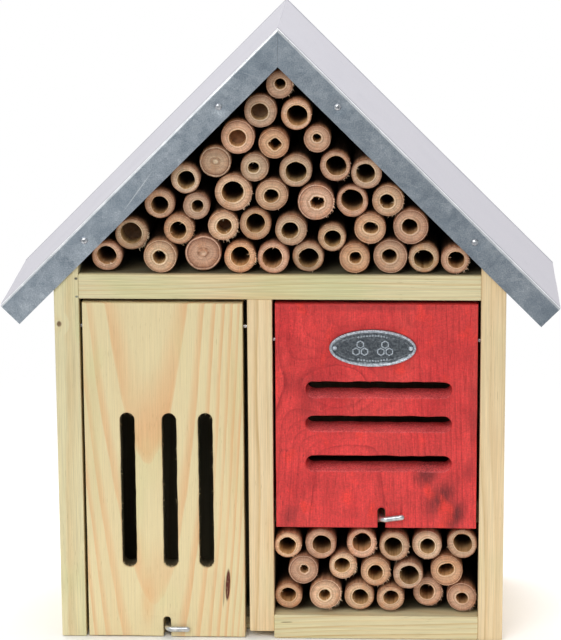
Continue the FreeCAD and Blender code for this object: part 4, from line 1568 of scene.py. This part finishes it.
LEFT_POST_MARKS = (
    dict(x=-93, z=139.5, long=1.6, wide=1.3, strength=0.85, shade=KNOT, lift=6),
    dict(x=-85.4, z=159.2, long=0.7, wide=0.9, strength=0.9, shade=NAIL_STAIN, pit=0.3),
    dict(x=-85.2, z=151.4, long=0.6, wide=0.9, strength=0.8, shade=PALE_STAIN, pit=0.2),
)
FLOOR_MARKS = (
    dict(x=2.2, z=7.3, long=3.2, wide=0.22, turn=88, strength=0.85, shade=KNOT, pit=0.6),
)
RED_DOOR_MARKS = (
    dict(x=68, z=64, long=15, wide=8, turn=38, strength=0.95, shade=SMUDGE, soft=1),
    dict(x=74, z=56, long=11, wide=6, turn=30, strength=0.95, shade=SMUDGE, soft=0.9),
    dict(x=62, z=74, long=9, wide=7, turn=60, strength=0.8, shade=SMUDGE, soft=0.9),
    dict(x=26.5, z=112, long=1, wide=1, strength=0, shade=SMUDGE, lift=33),
    dict(x=80, z=76, long=7, wide=4, turn=10, strength=0.5, shade=SMUDGE, soft=0.9),
    dict(x=4, z=56, long=9, wide=6, turn=40, strength=0.5, shade=SMUDGE, soft=0.9),
    dict(x=14, z=110, long=22, wide=9, turn=10, strength=0.35, shade=SMUDGE, soft=1),
    # The next two marks darken a band along the door's top edge and a strip down its right edge.
    dict(x=40, z=147.5, long=3, wide=42, strength=0.45, shade=SMUDGE, soft=0.9),
    dict(x=81.5, z=98, long=34, wide=2.4, strength=0.35, shade=SMUDGE, soft=0.9),
)

DOOR_TONES = dict(
    WOOD_TONES,
    early=colour(230, 213, 168),
    late=colour(228, 172, 120),
    green=colour(214, 210, 156),
)
WARM_TONES = dict(WOOD_TONES, early=colour(236, 212, 170), green=colour(222, 206, 160))
GREEN_TONES = dict(WOOD_TONES, early=colour(226, 214, 172), green=colour(202, 204, 150))
left_post = pine(
    "pine_left_post", UP, RIGHT, (-60, 55), (0.02, 0.0), 2.6, 1, GREEN_TONES, LEFT_POST_MARKS,
    late=1.0,
)
right_post = pine("pine_right_post", UP, RIGHT, (150, 20), (-0.03, 0.01), 3.1, 2, WARM_TONES, late=0.9)
shelf_pine = pine(
    "pine_shelf", RIGHT, UP, (215, 30), (0.015, 0.0), 1.7, 3, GREEN_TONES,
    late=0.75,
    gloom=(-41.5, -37),
)
divider_pine = pine("pine_divider", UP, RIGHT, (-50, 20), (0.015, 0.0), 2.4, 4, WARM_TONES, late=0.9)
floor_pine = pine(
    "pine_floor", RIGHT, UP, (-48, 25), (0.01, 0.0), 2.2, 5, GREEN_TONES, FLOOR_MARKS,
    late=1.0,
    gloom=(-37, -28),
)
nook_pine = pine("pine_nook_shelf", RIGHT, UP, (110, 40), (-0.02, 0.0), 2.5, 6)
back_pine = pine("pine_back", UP, RIGHT, (8, 75), (0.01, 0.03), 3.4, 7)
down_left = Vector((-1, 0, -1)).normalized()
down_right = Vector((1, 0, -1)).normalized()
left_roof_pine = pine("pine_left_roof", down_left, BACKWARD, (20, 130), (0.01, 0.01), 3.0, 8)
right_roof_pine = pine("pine_right_roof", down_right, BACKWARD, (-30, 140), (0.01, 0.01), 2.8, 9)
door_pine = pine(
    "pine_left_door",
    UP,
    RIGHT,
    (-56, 2.4),
    (0.0, -0.056),
    4.2,
    10,
    tones=DOOR_TONES,
    marks=LEFT_DOOR_MARKS,
    late=0.85,
    wander=1.2,
    tighten=0.0108,
    pulse_stops=((0, 0), (0.5, 0.04), (0.72, 0.7), (0.92, 1), (0.98, 0.6), (1, 0)),
    phase=40.0,
    inside=0.8,
    uneven_rings=0.0,
    weakest=0.75,
    tints=0.35,
    streaks=0.55,
    dark_walls=(-74, -26, 27, 105),
)
red_pine = stained_pine(
    "pine_red_stained",
    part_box("red_door")[1].z * 1000,
    UP,
    RIGHT,
    (28.8, -8.3),
    (0.0, 0.045),
    1.7,
    11,
    marks=RED_DOOR_MARKS,
    late=0.85,
    wander=1.5,
    rough=3.2,
    inside=0.8,
    phase=40.0,
    uneven_rings=0.6,
    weakest=0.3,
    streaks=0.9,
    pulse_stops=((0, 0), (0.55, 0.04), (0.8, 0.5), (0.92, 1), (0.985, 0.3), (1, 0)),
)
cane = bamboo("sawn_bamboo")
zinc = bright_metal("zinc_plate", colour(222, 224, 226), colour(182, 186, 191), 2.6, 0.24, 3)
nail_steel = bright_metal("nail_steel", colour(232, 234, 238), colour(150, 152, 158), 1.6, 0.24, 5)
badge_steel = bright_metal(
    "badge_steel", colour(206, 214, 222), colour(150, 158, 168), 0.9, 0.22, 8,
    patina=True,
)

paint(left_post, "left_side_board")
paint(right_post, "right_side_board")
paint(shelf_pine, "attic_shelf")
paint(divider_pine, "divider_board")
paint(floor_pine, "left_floor_board", "right_floor_board")
paint(nook_pine, "nook_shelf")
paint(back_pine, "back_panel")
paint(left_roof_pine, "left_roof_board")
paint(right_roof_pine, "right_roof_board")
brads = [name for name in nodes if name.endswith("brads") or name in ("back_nails",)]
paint(nail_steel, *brads, "left_door_pivot_nails", "red_door_pivot_nails")
paint(zinc, "hanger_plate", "hanger_screws")
paint(badge_steel, "badge_pins")

left_door_piece(door_pine)
red_door_piece(red_pine)
for node in sorted(nodes):
    if node.startswith("gable_tubes_row") or node.startswith("nook_tube"):
        cane_piece(node, cane)
sheet_piece(galvanised_steel())
nail_piece(nail_steel)
hook_piece("left_hook", "left_hook", zinc)
hook_piece("red_hook", "red_hook", zinc)
badge_piece(badge_steel)

floor_piece()
studio()
camera()
